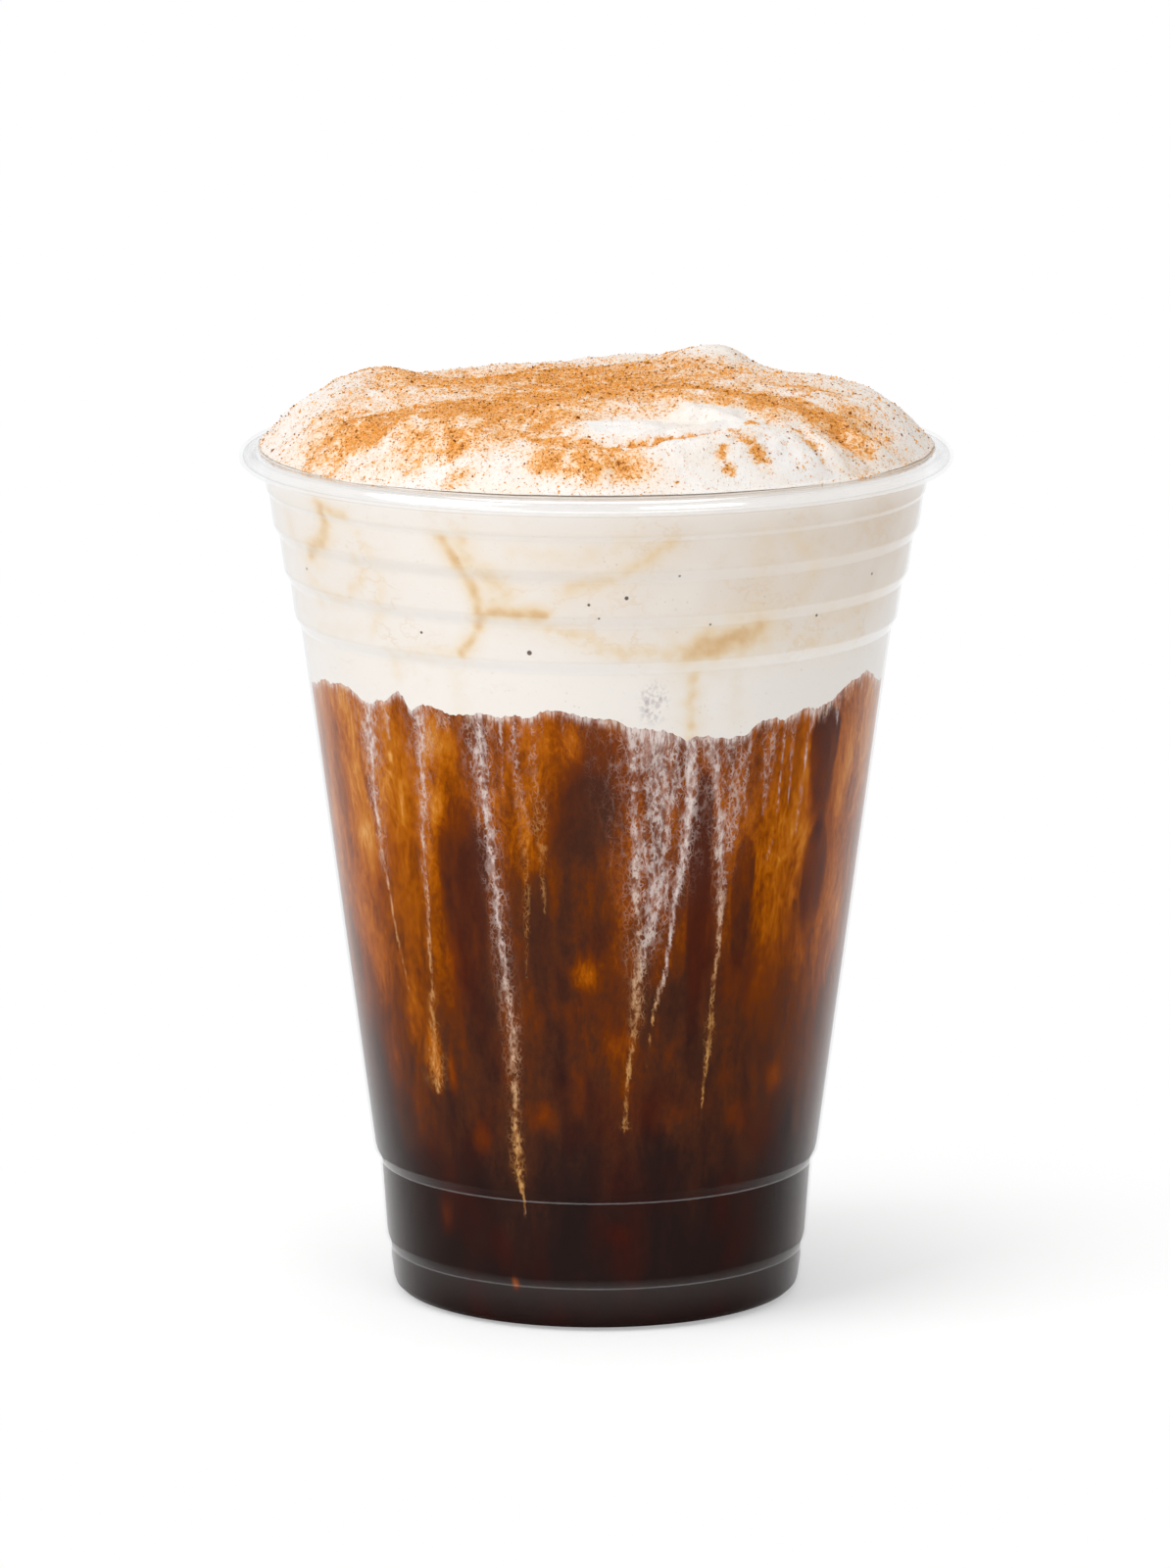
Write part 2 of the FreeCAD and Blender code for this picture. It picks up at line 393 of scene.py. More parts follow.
class Bench:
    """The modelling steps that every piece uses."""

    doubles = 1e-6
    smooth_below = math.radians(40)

    @staticmethod
    def clear() -> None:
        """Deselects everything."""
        if bpy.context.object and bpy.context.object.mode != "OBJECT":
            bpy.ops.object.mode_set(mode="OBJECT")
        bpy.ops.object.select_all(action="DESELECT")

    @staticmethod
    def pick(piece: bpy.types.Object) -> None:
        """Makes one piece the selected and active one.

        Args:
            piece: The piece to select.
        """
        Bench.clear()
        piece.select_set(True)
        bpy.context.view_layer.objects.active = piece

    @staticmethod
    @contextmanager
    def editing(piece: bpy.types.Object) -> Iterator[None]:
        """Edit mode with everything selected, and object mode again afterwards.

        Args:
            piece: The piece to work on.

        Yields:
            Nothing, while the piece is in edit mode.
        """
        Bench.pick(piece)
        bpy.ops.object.mode_set(mode="EDIT")
        bpy.ops.mesh.select_mode(type="VERT")
        bpy.ops.mesh.select_all(action="SELECT")
        yield
        bpy.ops.object.mode_set(mode="OBJECT")

    @staticmethod
    def modifier(piece: bpy.types.Object, kind: str, **settings: object) -> None:
        """Adds a modifier and applies it.

        Args:
            piece: The piece to work on.
            kind: The modifier's type.
            settings: The modifier's properties.
        """
        Bench.pick(piece)
        added = piece.modifiers.new(kind.title(), kind)
        for name, value in settings.items():
            setattr(added, name, value)
        bpy.ops.object.modifier_apply(modifier=added.name)

    @staticmethod
    def read(piece: bpy.types.Object) -> np.ndarray:
        """The places of a piece's vertices in millimetres, one row each.

        Args:
            piece: The piece to read.

        Returns:
            The places, in the order of the vertices.
        """
        flat = np.empty(len(piece.data.vertices) * 3)
        piece.data.vertices.foreach_get("co", flat)
        return flat.reshape(-1, 3) / MM

    @staticmethod
    def write(piece: bpy.types.Object, places: np.ndarray) -> None:
        """Moves a piece's vertices to places in millimetres."""
        piece.data.vertices.foreach_set("co", (places * MM).ravel())
        piece.data.update()

    @staticmethod
    def normals(piece: bpy.types.Object) -> np.ndarray:
        """The directions of a piece's vertices, one row each.

        Args:
            piece: The piece to read.

        Returns:
            The directions, in the order of the vertices.
        """
        flat = np.empty(len(piece.data.vertices) * 3)
        piece.data.vertex_normals.foreach_get("vector", flat)
        return flat.reshape(-1, 3)

    @staticmethod
    def stain(piece: bpy.types.Object, name: str, values: np.ndarray) -> None:
        """Paints one number per vertex on a piece."""
        layer = piece.data.attributes.new(name, "FLOAT", "POINT")
        layer.data.foreach_set("value", values.astype(np.float32))

    @staticmethod
    def lathe(name: str, outline: Points, steps: int, cuts: dict[int, int] | None = None) -> bpy.types.Object:
        """Spins an outline about the Z axis into a closed piece.

        Args:
            name: The piece's name.
            outline: Radius and height of each corner in millimetres. An outline that starts and ends on
                the axis is closed by it, and any other is closed from its last corner to its first.
            steps: How many steps the turn takes.
            cuts: How often the run that follows a corner is cut across, by the corner's number.

        Returns:
            The piece, with its normals outwards and smooth shading.
        """
        Bench.clear()
        bpy.ops.mesh.primitive_plane_add(size=MM, location=(0.0, 0.0, 0.0))
        piece = bpy.context.object
        piece.name = piece.data.name = name
        loop = [*outline] if outline[0][0] == 0.0 else [*outline, outline[0]]
        with Bench.editing(piece):
            bpy.ops.mesh.merge(type="CENTER")
            bpy.ops.transform.translate(value=(loop[0][0] * MM, 0.0, loop[0][1] * MM))
        with Bench.editing(piece):
            for (r0, z0), (r1, z1) in zip(loop, loop[1:]):
                step = ((r1 - r0) * MM, 0.0, (z1 - z0) * MM)
                bpy.ops.mesh.extrude_region_move(TRANSFORM_OT_translate={"value": step})
        for corner, count in (cuts or {}).items():
            Bench.choose(piece, lambda index: index in (corner, corner + 1))
            bpy.ops.mesh.subdivide(number_cuts=count)
            bpy.ops.object.mode_set(mode="OBJECT")
        with Bench.editing(piece):
            bpy.ops.mesh.spin(steps=steps, angle=math.tau, center=(0, 0, 0), axis=(0, 0, 1))
            bpy.ops.mesh.select_all(action="SELECT")
            bpy.ops.mesh.remove_doubles(threshold=Bench.doubles)
            bpy.ops.mesh.normals_make_consistent(inside=False)
        Bench.pick(piece)
        bpy.ops.object.shade_smooth_by_angle(angle=Bench.smooth_below)
        return piece

    @staticmethod
    def choose(piece: bpy.types.Object, wanted: Callable[[int], bool]) -> None:
        """Goes into edit mode with only the vertices whose numbers are wanted, and the edges between them.

        Args:
            piece: The piece to work on.
            wanted: Tells of a vertex number whether it is wanted.
        """
        with Bench.editing(piece):
            bpy.ops.mesh.select_all(action="DESELECT")
        for vertex in piece.data.vertices:
            vertex.select = wanted(vertex.index)
        for edge in piece.data.edges:
            edge.select = all(wanted(index) for index in edge.vertices)
        bpy.ops.object.mode_set(mode="EDIT")

    @staticmethod
    def finish(piece: bpy.types.Object, material: bpy.types.Material, slot: str, *nodes: str) -> None:
        """Gives a piece its material, its place in the frame and the CAD nodes that it stands for.

        Args:
            piece: The finished piece.
            material: What it is made of.
            slot: The name of its material slot; not used.
            nodes: The CAD nodes that it replaces.
        """
        piece.data.materials.clear()
        piece.data.materials.append(material)
        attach(piece, "root")
        if nodes:
            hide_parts(*nodes)
        piece.data.calc_loop_triangles()
        LOG.info("%s: %d triangles", piece.name, len(piece.data.loop_triangles))


def cloud(places: np.ndarray, grain: float, octaves: int = 3, seed: float = 0.0) -> np.ndarray:
    """Cloudy noise about zero at places in millimetres, with lumps about as large as grain."""
    rows = (places / grain + seed).tolist()
    return np.array([noise.fractal(row, 0.9, 2.0, octaves) for row in rows])


def eased(values: np.ndarray, none: float, full: float) -> np.ndarray:
    """Goes smoothly from 0 to 1 as the values go from none to full."""
    share = np.clip((values - none) / (full - none), 0.0, 1.0)
    return share * share * (3.0 - 2.0 * share)


def distance_to_line(places: np.ndarray, line: Points) -> np.ndarray:
    """How far each place in a plane lies from a line of straight stretches.

    Args:
        places: Points in a plane, one row each.
        line: The corners of the line.

    Returns:
        The distances, one for each place.
    """
    nearest = np.full(len(places), np.inf)
    for start, end in zip(line, line[1:]):
        a, b = np.array(start), np.array(end)
        run = b - a
        share = np.clip((places - a) @ run / (run @ run), 0.0, 1.0)
        nearest = np.minimum(nearest, np.linalg.norm(places - a - share[:, None] * run, axis=1))
    return nearest


class Wall:
    """Points on a round wall, unrolled, for painting on it."""

    mean_radius = 37.0

    def __init__(self, places: np.ndarray) -> None:
        """Works out how far round and how high each point is.

        Args:
            places: The points, one row each, in millimetres.
        """
        self.places = places
        self.clouds: dict[tuple[float, ...], np.ndarray] = {}
        self.angle = np.degrees(np.arctan2(places[:, 0], -places[:, 1]))
        self.z = places[:, 2]

    def along(self, angle: np.ndarray | float) -> np.ndarray:
        """How far round from an angle the points are, in millimetres."""
        return ((self.angle - angle + 180.0) % 360.0 - 180.0) * math.radians(self.mean_radius)

    def cloud(self, grain: float, upright: float = 1.0, octaves: int = 3, seed: float = 0.0) -> np.ndarray:
        """Cloudy noise about zero, drawn out downwards where upright is under one, and kept once made.

        Args:
            grain: The size of its lumps.
            upright: How much the height counts.
            octaves: How many finer layers it has.
            seed: Which noise it is.

        Returns:
            The noise, one value for each point.
        """
        key = (grain, upright, octaves, seed)
        if key not in self.clouds:
            self.clouds[key] = cloud(self.places * np.array([1.0, 1.0, upright]), grain, octaves, seed)
        return self.clouds[key]


# --- the cup -------------------------------------------------------------------------------------------


class Corner(NamedTuple):
    """A corner of the sheet's outline and the round that blends it."""

    r: float
    z: float
    bend: float = 0.0


class HighlightBand(NamedTuple):
    """A sloping band round the cup where a highlight line is painted: its middle, half height and how bright
    it is.
    """

    z: float
    half: float
    shine: float


@dataclass(frozen=True)
class CupProfile:
    """The section of the cup's sheet, on its outer surface, from the base's middle to the rolled bead."""

    height: float = 118.3
    rim_radius: float = 49.0
    heel_radius: float = 28.4
    wall: float = 0.5
    foot_width: float = 3.2
    heel_round: float = 1.9
    foot_round: float = 0.7
    punt_height: float = 1.8
    punt_slope: float = 2.0
    punt_round: float = 1.6
    foot_draft: float = 0.07
    foot_levels: tuple[float, float] = (7.0, 19.3)
    foot_steps: tuple[float, float] = (0.45, 0.62)
    foot_step_height: float = 1.5
    rings: int = 3
    ring_pitch: float = 6.35
    ring_step: float = 0.62
    ring_height: float = 1.6
    top_ring_below_rim: float = 11.2
    shoulder_round: float = 0.8
    neck_below_rim: float = 6.1
    neck_step: float = 0.35
    neck_step_height: float = 0.6
    neck_round: float = 0.6
    overhang: float = 3.04
    ledge_round: float = 0.9
    bead: float = 1.2
    tuck: float = 0.55
    sharp: float = 0.01
    line_half: float = 0.03
    line_shine: float = 0.8
    ring_shine: tuple[float, float, float] = (0.6, 0.8, 1.0)
    collar_below_rim: float = 2.0
    collar_half: float = 3.2
    collar_shine: float = 0.5
    bead_shine: float = 1.5
    ledge_margin: tuple[float, float] = (0.4, 0.3)

    def corners(self) -> list[Corner]:
        """The corners of the outer surface.

        Returns:
            The corners, from the middle of the base to the end of the bead.
        """
        foot = self.heel_radius - self.foot_width
        found = [
            Corner(0.0, self.punt_height),
            Corner(foot - self.punt_slope, self.punt_height, self.punt_round),
            Corner(foot, 0.0, self.foot_round),
            Corner(self.heel_radius, 0.0, self.heel_round),
        ]
        bore = self.bead - self.wall
        ledge_z = self.height - self.wall
        outer = self.rim_radius - self.wall
        ledge = Corner(self.rim_radius - self.overhang, ledge_z, self.ledge_round)
        draft = self.foot_draft
        for index, (level, step) in enumerate(zip(self.foot_levels, self.foot_steps)):
            if index == len(self.foot_levels) - 1:
                start_z = level - self.foot_step_height / 2
                start_r = found[-1].r + self.foot_draft * (start_z - found[-1].z)
                jumps = step + self.rings * self.ring_step + self.neck_step
                draft = (ledge.r - start_r - jumps) / (ledge_z - start_z - self.neck_step_height)
            self._shoulder(found, level, self.foot_step_height, step, self.foot_draft, draft)
        for ring in reversed(range(self.rings)):
            level = self.height - self.top_ring_below_rim - ring * self.ring_pitch
            self._shoulder(found, level, self.ring_height, self.ring_step, draft, draft)
        neck_z = self.height - self.neck_below_rim
        neck_r = found[-1].r + draft * (neck_z - found[-1].z)
        found += [
            Corner(neck_r, neck_z, self.neck_round),
            Corner(neck_r + self.neck_step, neck_z + self.neck_step_height, self.neck_round),
            ledge,
            Corner(outer, ledge_z, bore),
            Corner(outer, ledge_z - 2 * bore, bore),
            Corner(outer - 2 * bore, ledge_z - 2 * bore, bore),
            Corner(outer - 2 * bore, ledge_z - bore + self.tuck * bore),
        ]
        return found

    def _shoulder(self, found: list[Corner], level: float, height: float, step: float, under: float,
                  over: float) -> None:
        """Adds the two corners of one stacking shoulder.

        Args:
            found: The corners so far, which grow.
            level: The height of the shoulder's middle.
            height: How high the shoulder is.
            step: How far it steps out.
            under: How the wall widens below it.
            over: How the wall widens above it.
        """
        low_z = level - height / 2
        low_r = found[-1].r + under * (low_z - found[-1].z)
        found.append(Corner(low_r, low_z, self.shoulder_round))
        found.append(Corner(low_r + over * height + step, low_z + height, self.shoulder_round))

    def surface(self, depth: float, steps: int = 6) -> list[tuple[float, float]]:
        """The sheet's section at a depth below its outer surface, which is inwards on the wall.

        Args:
            depth: From 0, the outer surface, to the wall's thickness, the inner one.
            steps: How many straight pieces each round is made of.

        Returns:
            Radius and height of its points.
        """
        corners = self.corners()
        runs = [Vector((b.r - a.r, b.z - a.z)).normalized() for a, b in zip(corners, corners[1:])]
        moved = []
        for index, corner in enumerate(corners):
            before, after = runs[max(index - 1, 0)], runs[min(index, len(runs) - 1)]
            left = Vector((-before.y - after.y, before.x + after.x)).normalized()
            shift = depth / (left.x * -before.y + left.y * before.x)
            turn = -depth if before.x * after.y - before.y * after.x > 0 else depth
            bend = max(corner.bend + turn, 0.0)
            moved.append(Corner(corner.r + left.x * shift, corner.z + left.y * shift, bend))
        points = [moved[0][:2]]
        for before, corner, after in zip(moved, moved[1:], moved[2:]):
            points += self._round(before, corner, after, steps)
        return points + [moved[-1][:2]]

    @staticmethod
    def _round(before: Corner, corner: Corner, after: Corner, steps: int) -> list[tuple[float, float]]:
        """The points of the arc that blends one corner.

        Args:
            before: The corner before it.
            corner: The corner to blend.
            after: The corner after it.
            steps: How many straight pieces the arc is made of.

        Returns:
            Radius and height of the points.
        """
        here = Vector(corner[:2])
        back = (Vector(before[:2]) - here).normalized()
        on = (Vector(after[:2]) - here).normalized()
        if corner.bend <= CupProfile.sharp:
            return [corner[:2]]
        half = back.angle(on) / 2
        centre = here + (back + on).normalized() * (corner.bend / math.sin(half))
        reach = corner.bend / math.tan(half)
        start, end = here + back * reach - centre, here + on * reach - centre
        sweep = start.angle_signed(end)
        turned = []
        for step in range(steps + 1):
            angle = -sweep * step / steps
            x = start.x * math.cos(angle) - start.y * math.sin(angle)
            y = start.x * math.sin(angle) + start.y * math.cos(angle)
            turned.append((centre.x + x, centre.y + y))
        return turned

    def bands(self) -> list[HighlightBand]:
        """The shoulders, the neck's step, the collar and the bead, where highlight lines are painted.

        Returns:
            The bands.
        """
        half = self.foot_step_height / 2
        found = [HighlightBand(level - half, self.line_half, self.line_shine) for level in self.foot_levels]
        for ring, shine in zip(range(self.rings), self.ring_shine):
            level = self.height - self.top_ring_below_rim - ring * self.ring_pitch
            found.append(HighlightBand(level, self.ring_height / 2, shine))
        neck = self.height - self.neck_below_rim + self.neck_step_height / 2
        return [
            *found,
            HighlightBand(neck, self.neck_step_height / 2, self.line_shine),
            HighlightBand(self.height - self.collar_below_rim, self.collar_half, self.collar_shine),
            HighlightBand(self.height - self.bead, self.bead, self.bead_shine),
        ]

    def radius(self, heights: np.ndarray, depth: float) -> np.ndarray:
        """The radius of the wall at heights above its heel and below its ledge, at a depth.

        Args:
            heights: The heights.
            depth: How far below the outer surface.

        Returns:
            The radii, one for each height.
        """
        outside, below = self.ledge_margin
        narrowest, widest = self.heel_radius - self.heel_round, self.rim_radius - self.overhang + outside
        wall = [p for p in self.surface(depth) if narrowest < p[0] < widest]
        wall = [p for p in wall if self.heel_round <= p[1] <= self.height - self.wall - below]
        return np.interp(heights, [p[1] for p in wall], [p[0] for p in wall])


@dataclass(frozen=True)
class ClearFinish:
    """The clear plastic's settings that are the same all over it."""

    name: str = "clear plastic"
    roughness: float = 0.14
    ripple: float = 0.00003
    waves: Grain = Grain(0.006, 0.25)
    # Painted shade: towards the plastic's edges the see-through part takes the edge colour below, as steeply
    # as this power says.
    edge_shade_power: float = 9.0
    shine_power: float = 5.0
    shine_most: float = 0.92
    # How strongly the painted highlight lines on the bands raise the plastic's mirror share.
    painted_highlight: float = 0.2
    clear: Colour = (0.99, 0.99, 0.99, 1.0)
    edge: Colour = (0.58, 0.59, 0.62, 1.0)


@dataclass
class Cup:
    """The clear plastic cup."""

    profile: CupProfile
    steps: int = 240
    line_inside: float = 0.16
    line_outside: float = 0.12
    finish: ClearFinish = ClearFinish()

    def build(self) -> bpy.types.Object:
        """Spins the sheet, from its outer surface round the bead's edge to its inner one.

        Returns:
            The cup, dressed and placed.
        """
        outer = self.profile.surface(0.0)
        inner = self.profile.surface(self.profile.wall)
        outline = outer + inner[::-1]
        cup = Bench.lathe("cup_shell", outline, self.steps)
        height = Bench.read(cup)[:, 2]
        # Painted highlight: a number on each band that raises the mirror share there, so that the bands show
        # as bright lines.
        line = np.zeros(len(height))
        for band in self.profile.bands():
            away = np.abs(height - band.z)
            full, none = max(band.half - self.line_inside, 0.0), band.half + self.line_outside
            line = np.maximum(line, band.shine * (1.0 - eased(away, full, none)))
        Bench.stain(cup, "line", line)
        Bench.finish(cup, self.material(), "clear_plastic", "cup")
        return cup

    def material(self) -> bpy.types.Material:
        """Clear plastic: see-through and more mirror-like towards its edges, with painted shade that greys it
        there and painted highlight lines along its bands.

        Returns:
            The material.
        """
        material = bpy.data.materials.new(self.finish.name)
        material.use_nodes = True
        sheet = Sheet(material.node_tree)
        facing = Signal(sheet, sheet.node("ShaderNodeLayerWeight", {}, {"Blend": 0.5}).outputs["Facing"])
        inside = Signal(sheet, sheet.node("ShaderNodeNewGeometry").outputs["Backfacing"])
        ripple = sheet.bump(sheet.place().clouds(self.finish.waves), self.finish.ripple)
        clear = sheet.node("ShaderNodeBsdfTransparent", {}, {"Color": self.finish.clear})
        # Painted shade: the see-through part turns grey towards the edges.
        edge = sheet.node("ShaderNodeBsdfTransparent", {}, {"Color": self.finish.edge})
        through = sheet.node("ShaderNodeMixShader", {}, {
            0: facing ** self.finish.edge_shade_power, 1: clear.outputs[0], 2: edge.outputs[0]})
        gloss = sheet.node("ShaderNodeBsdfGlossy", {}, {
            "Color": WHITE, "Roughness": self.finish.roughness, "Normal": ripple})
        # Painted highlight: the painted lines on the bands add to the mirror share that grows towards the
        # edges.
        fresnel_and_painted_highlight = facing ** self.finish.shine_power + sheet.attribute("line") * self.finish.painted_highlight
        share = fresnel_and_painted_highlight.at_most(self.finish.shine_most) * (1.0 - inside)
        mixed = sheet.node("ShaderNodeMixShader", {}, {0: share, 1: through.outputs[0], 2: gloss.outputs[0]})
        shadow = sheet.node("ShaderNodeLightPath").outputs["Is Shadow Ray"]
        unseen = sheet.node("ShaderNodeBsdfTransparent", {}, {"Color": WHITE})
        whole = sheet.node("ShaderNodeMixShader", {}, {0: shadow, 1: mixed.outputs[0], 2: unseen.outputs[0]})
        sheet.node("ShaderNodeOutputMaterial", {}, {"Surface": whole.outputs[0]})
        return material


@dataclass
class FoamEdge:
    """The foam's ragged lower edge inside the wall."""

    profile: CupProfile
    front: Points = (
        (-78, 88.6), (-72, 88.8), (-66, 88.4), (-60, 88.9), (-56, 88.2), (-53, 87.2), (-50, 87), (-48, 88.2),
        (-46, 87.8), (-42, 89.7), (-40.5, 88.5), (-39.7, 86.8), (-37, 88), (-34.5, 88.2), (-32, 87.6),
        (-29, 87.2), (-26, 87.6), (-22, 88.1), (-20, 87.4), (-16, 87.8), (-13, 87.6), (-9.5, 88.9),
        (-5, 88.4), (0, 87.7), (4, 87.5), (6, 86.4), (9, 86.2), (13, 85.8), (16, 85.2), (18, 84.2), (20, 85),
        (22, 84.8), (25, 84.2), (31, 84.3), (33, 85.8), (37, 86.3), (40, 85.9), (43, 86.6), (46, 87),
        (48, 86.5), (50, 86.8), (54, 87.2), (58, 88.8), (62, 89.3), (68, 89.9), (74, 89.7), (78, 89.4),
    )
    lowered: float = 0.3
    drop: float = 200.0
    soft: float = 0.8
    level: float = 86.0
    inset: float = 1.2
    front_to: tuple[float, float] = (66.0, 78.0)
    step: float = 0.5
    spread: int = 6
    ragged: float = 0.22
    frayed: float = 0.3

    def height(self, angles: np.ndarray) -> np.ndarray:
        """The height of the foam's edge at angles round the cup.

        Args:
            angles: Angles in degrees, from the front and rising to the right.

        Returns:
            Heights in millimetres: the frame's wavy level, with the front's own nicks and a fine raggedness.
        """
        mesh = FRAME["nodes"]["coffee"].data
        corners = [vertex.co for vertex in mesh.vertices]
        coffee = BVHTree.FromPolygons(corners, [tuple(face.vertices) for face in mesh.polygons])
        grid = np.arange(-180.0, 180.0, self.step)
        reach = float(self.profile.radius(np.array([self.level]), self.inset)[0])
        level = []
        for turn in np.radians(grid):
            above = Vector((reach * math.sin(turn), -reach * math.cos(turn), self.drop)) * MM
            spot = coffee.ray_cast(above, Vector((0.0, 0.0, -1.0)))[0]
            level.append(spot.z / MM if spot else self.front[0][1])
        near = 1.0 - eased(np.abs(grid), *self.front_to)
        level = np.array(level) + (np.interp(grid, *zip(*self.front)) - level) * near
        weights = np.exp(-((np.arange(-self.spread, self.spread + 1) * self.step / self.soft) ** 2))
        level = np.convolve(np.pad(level, self.spread, "wrap"), weights / weights.sum(), "valid")
        base = np.interp(angles, grid, level, period=360.0)
        turn = np.radians(angles)
        ring = np.stack([np.sin(turn), -np.cos(turn), np.zeros_like(turn)], axis=1) * reach
        rough = cloud(ring, 1.8, 3) * self.ragged + cloud(ring, 0.45, 2, 7.0) * self.frayed
        return base - self.lowered + rough


# --- the coffee ----------------------------------------------------------------------------------------


class Stop(NamedTuple):
    """A stop on a drip's way down: its height, its angle round the cup and its half width."""

    z: float
    angle: float
    half: float


@dataclass(frozen=True)
class Drip:
    """Milk that runs down inside the wall, from its lowest stop up to where it leaves the foam."""

    stops: tuple[Stop, ...]
    strength: float
    amber_from: float = 60.0
    amber_to: float = 40.0
    thinnest: float = 0.3
    spread: float = 1.15
    haze: float = 0.36

    def mask(self, wall: Wall) -> np.ndarray:
        """How much milk lies at each point of the wall, from 0 to 1.

        Args:
            wall: The points of the wall.

        Returns:
            The amount at each point.
        """
        heights = [stop.z for stop in self.stops]
        centre = np.interp(wall.z, heights, [stop.angle for stop in self.stops])
        half = np.interp(wall.z, heights, [stop.half for stop in self.stops]) * self.spread
        drawn = np.maximum(half, self.thinnest)
        waver = wall.cloud(4.0, 0.25, 2, 3.0) * np.minimum(0.4, drawn)
        fray = wall.cloud(0.7, 0.2, 2, 5.0) * 0.4 + wall.cloud(1.6, 0.12, 2, 9.0) * 0.3
        share = np.abs(wall.along(centre) + waver) / drawn
        core = eased(1.0 - share * 1.3 + fray, 0.0, 0.9)
        haze = np.exp(-((share / 1.7) ** 2)) * self.haze * eased(half, 0.3, 1.0) * (1.0 + fray)
        mask = np.maximum(core, haze) * np.clip(half / self.thinnest, 0.0, 1.0)
        return mask * self.strength * (wall.z > heights[0])

    def warmth(self, wall: Wall) -> np.ndarray:
        """How far the drip has gone from milk white to amber at each point, from 0 to 1."""
        return 1.0 - eased(wall.z, self.amber_to, self.amber_from)


@dataclass(frozen=True)
class Patch:
    """A rounded patch in the coffee that is brighter or darker, and may be redder, than what is round it."""

    angle: float
    z: float
    half: float
    up: float
    down: float
    glow: float
    crisp: float = 0.0
    red: float = 0.0
    softer: float = 0.85

    def mask(self, wall: Wall) -> np.ndarray:
        """How much of the patch shows at each point of the wall, from 0 to 1.

        Args:
            wall: The points of the wall.

        Returns:
            The amount at each point.
        """
        rise = wall.z - self.z
        height = np.where(rise > 0.0, rise / self.up, rise / self.down)
        side = wall.along(self.angle) / self.half
        waver = wall.cloud(3.2, 0.6, 3, 8.0) * 0.26
        sharp = self.crisp * (1.0 - self.softer * eased(-rise / self.down, 0.0, 0.9))
        return 1.0 - eased(np.hypot(side, height) + waver * (1.0 - self.softer * self.crisp), sharp, 1.0)


def stops(*rows: tuple[float, float, float]) -> tuple[Stop, ...]:
    """A drip's stops, from low to high."""
    return tuple(Stop(*row) for row in rows)


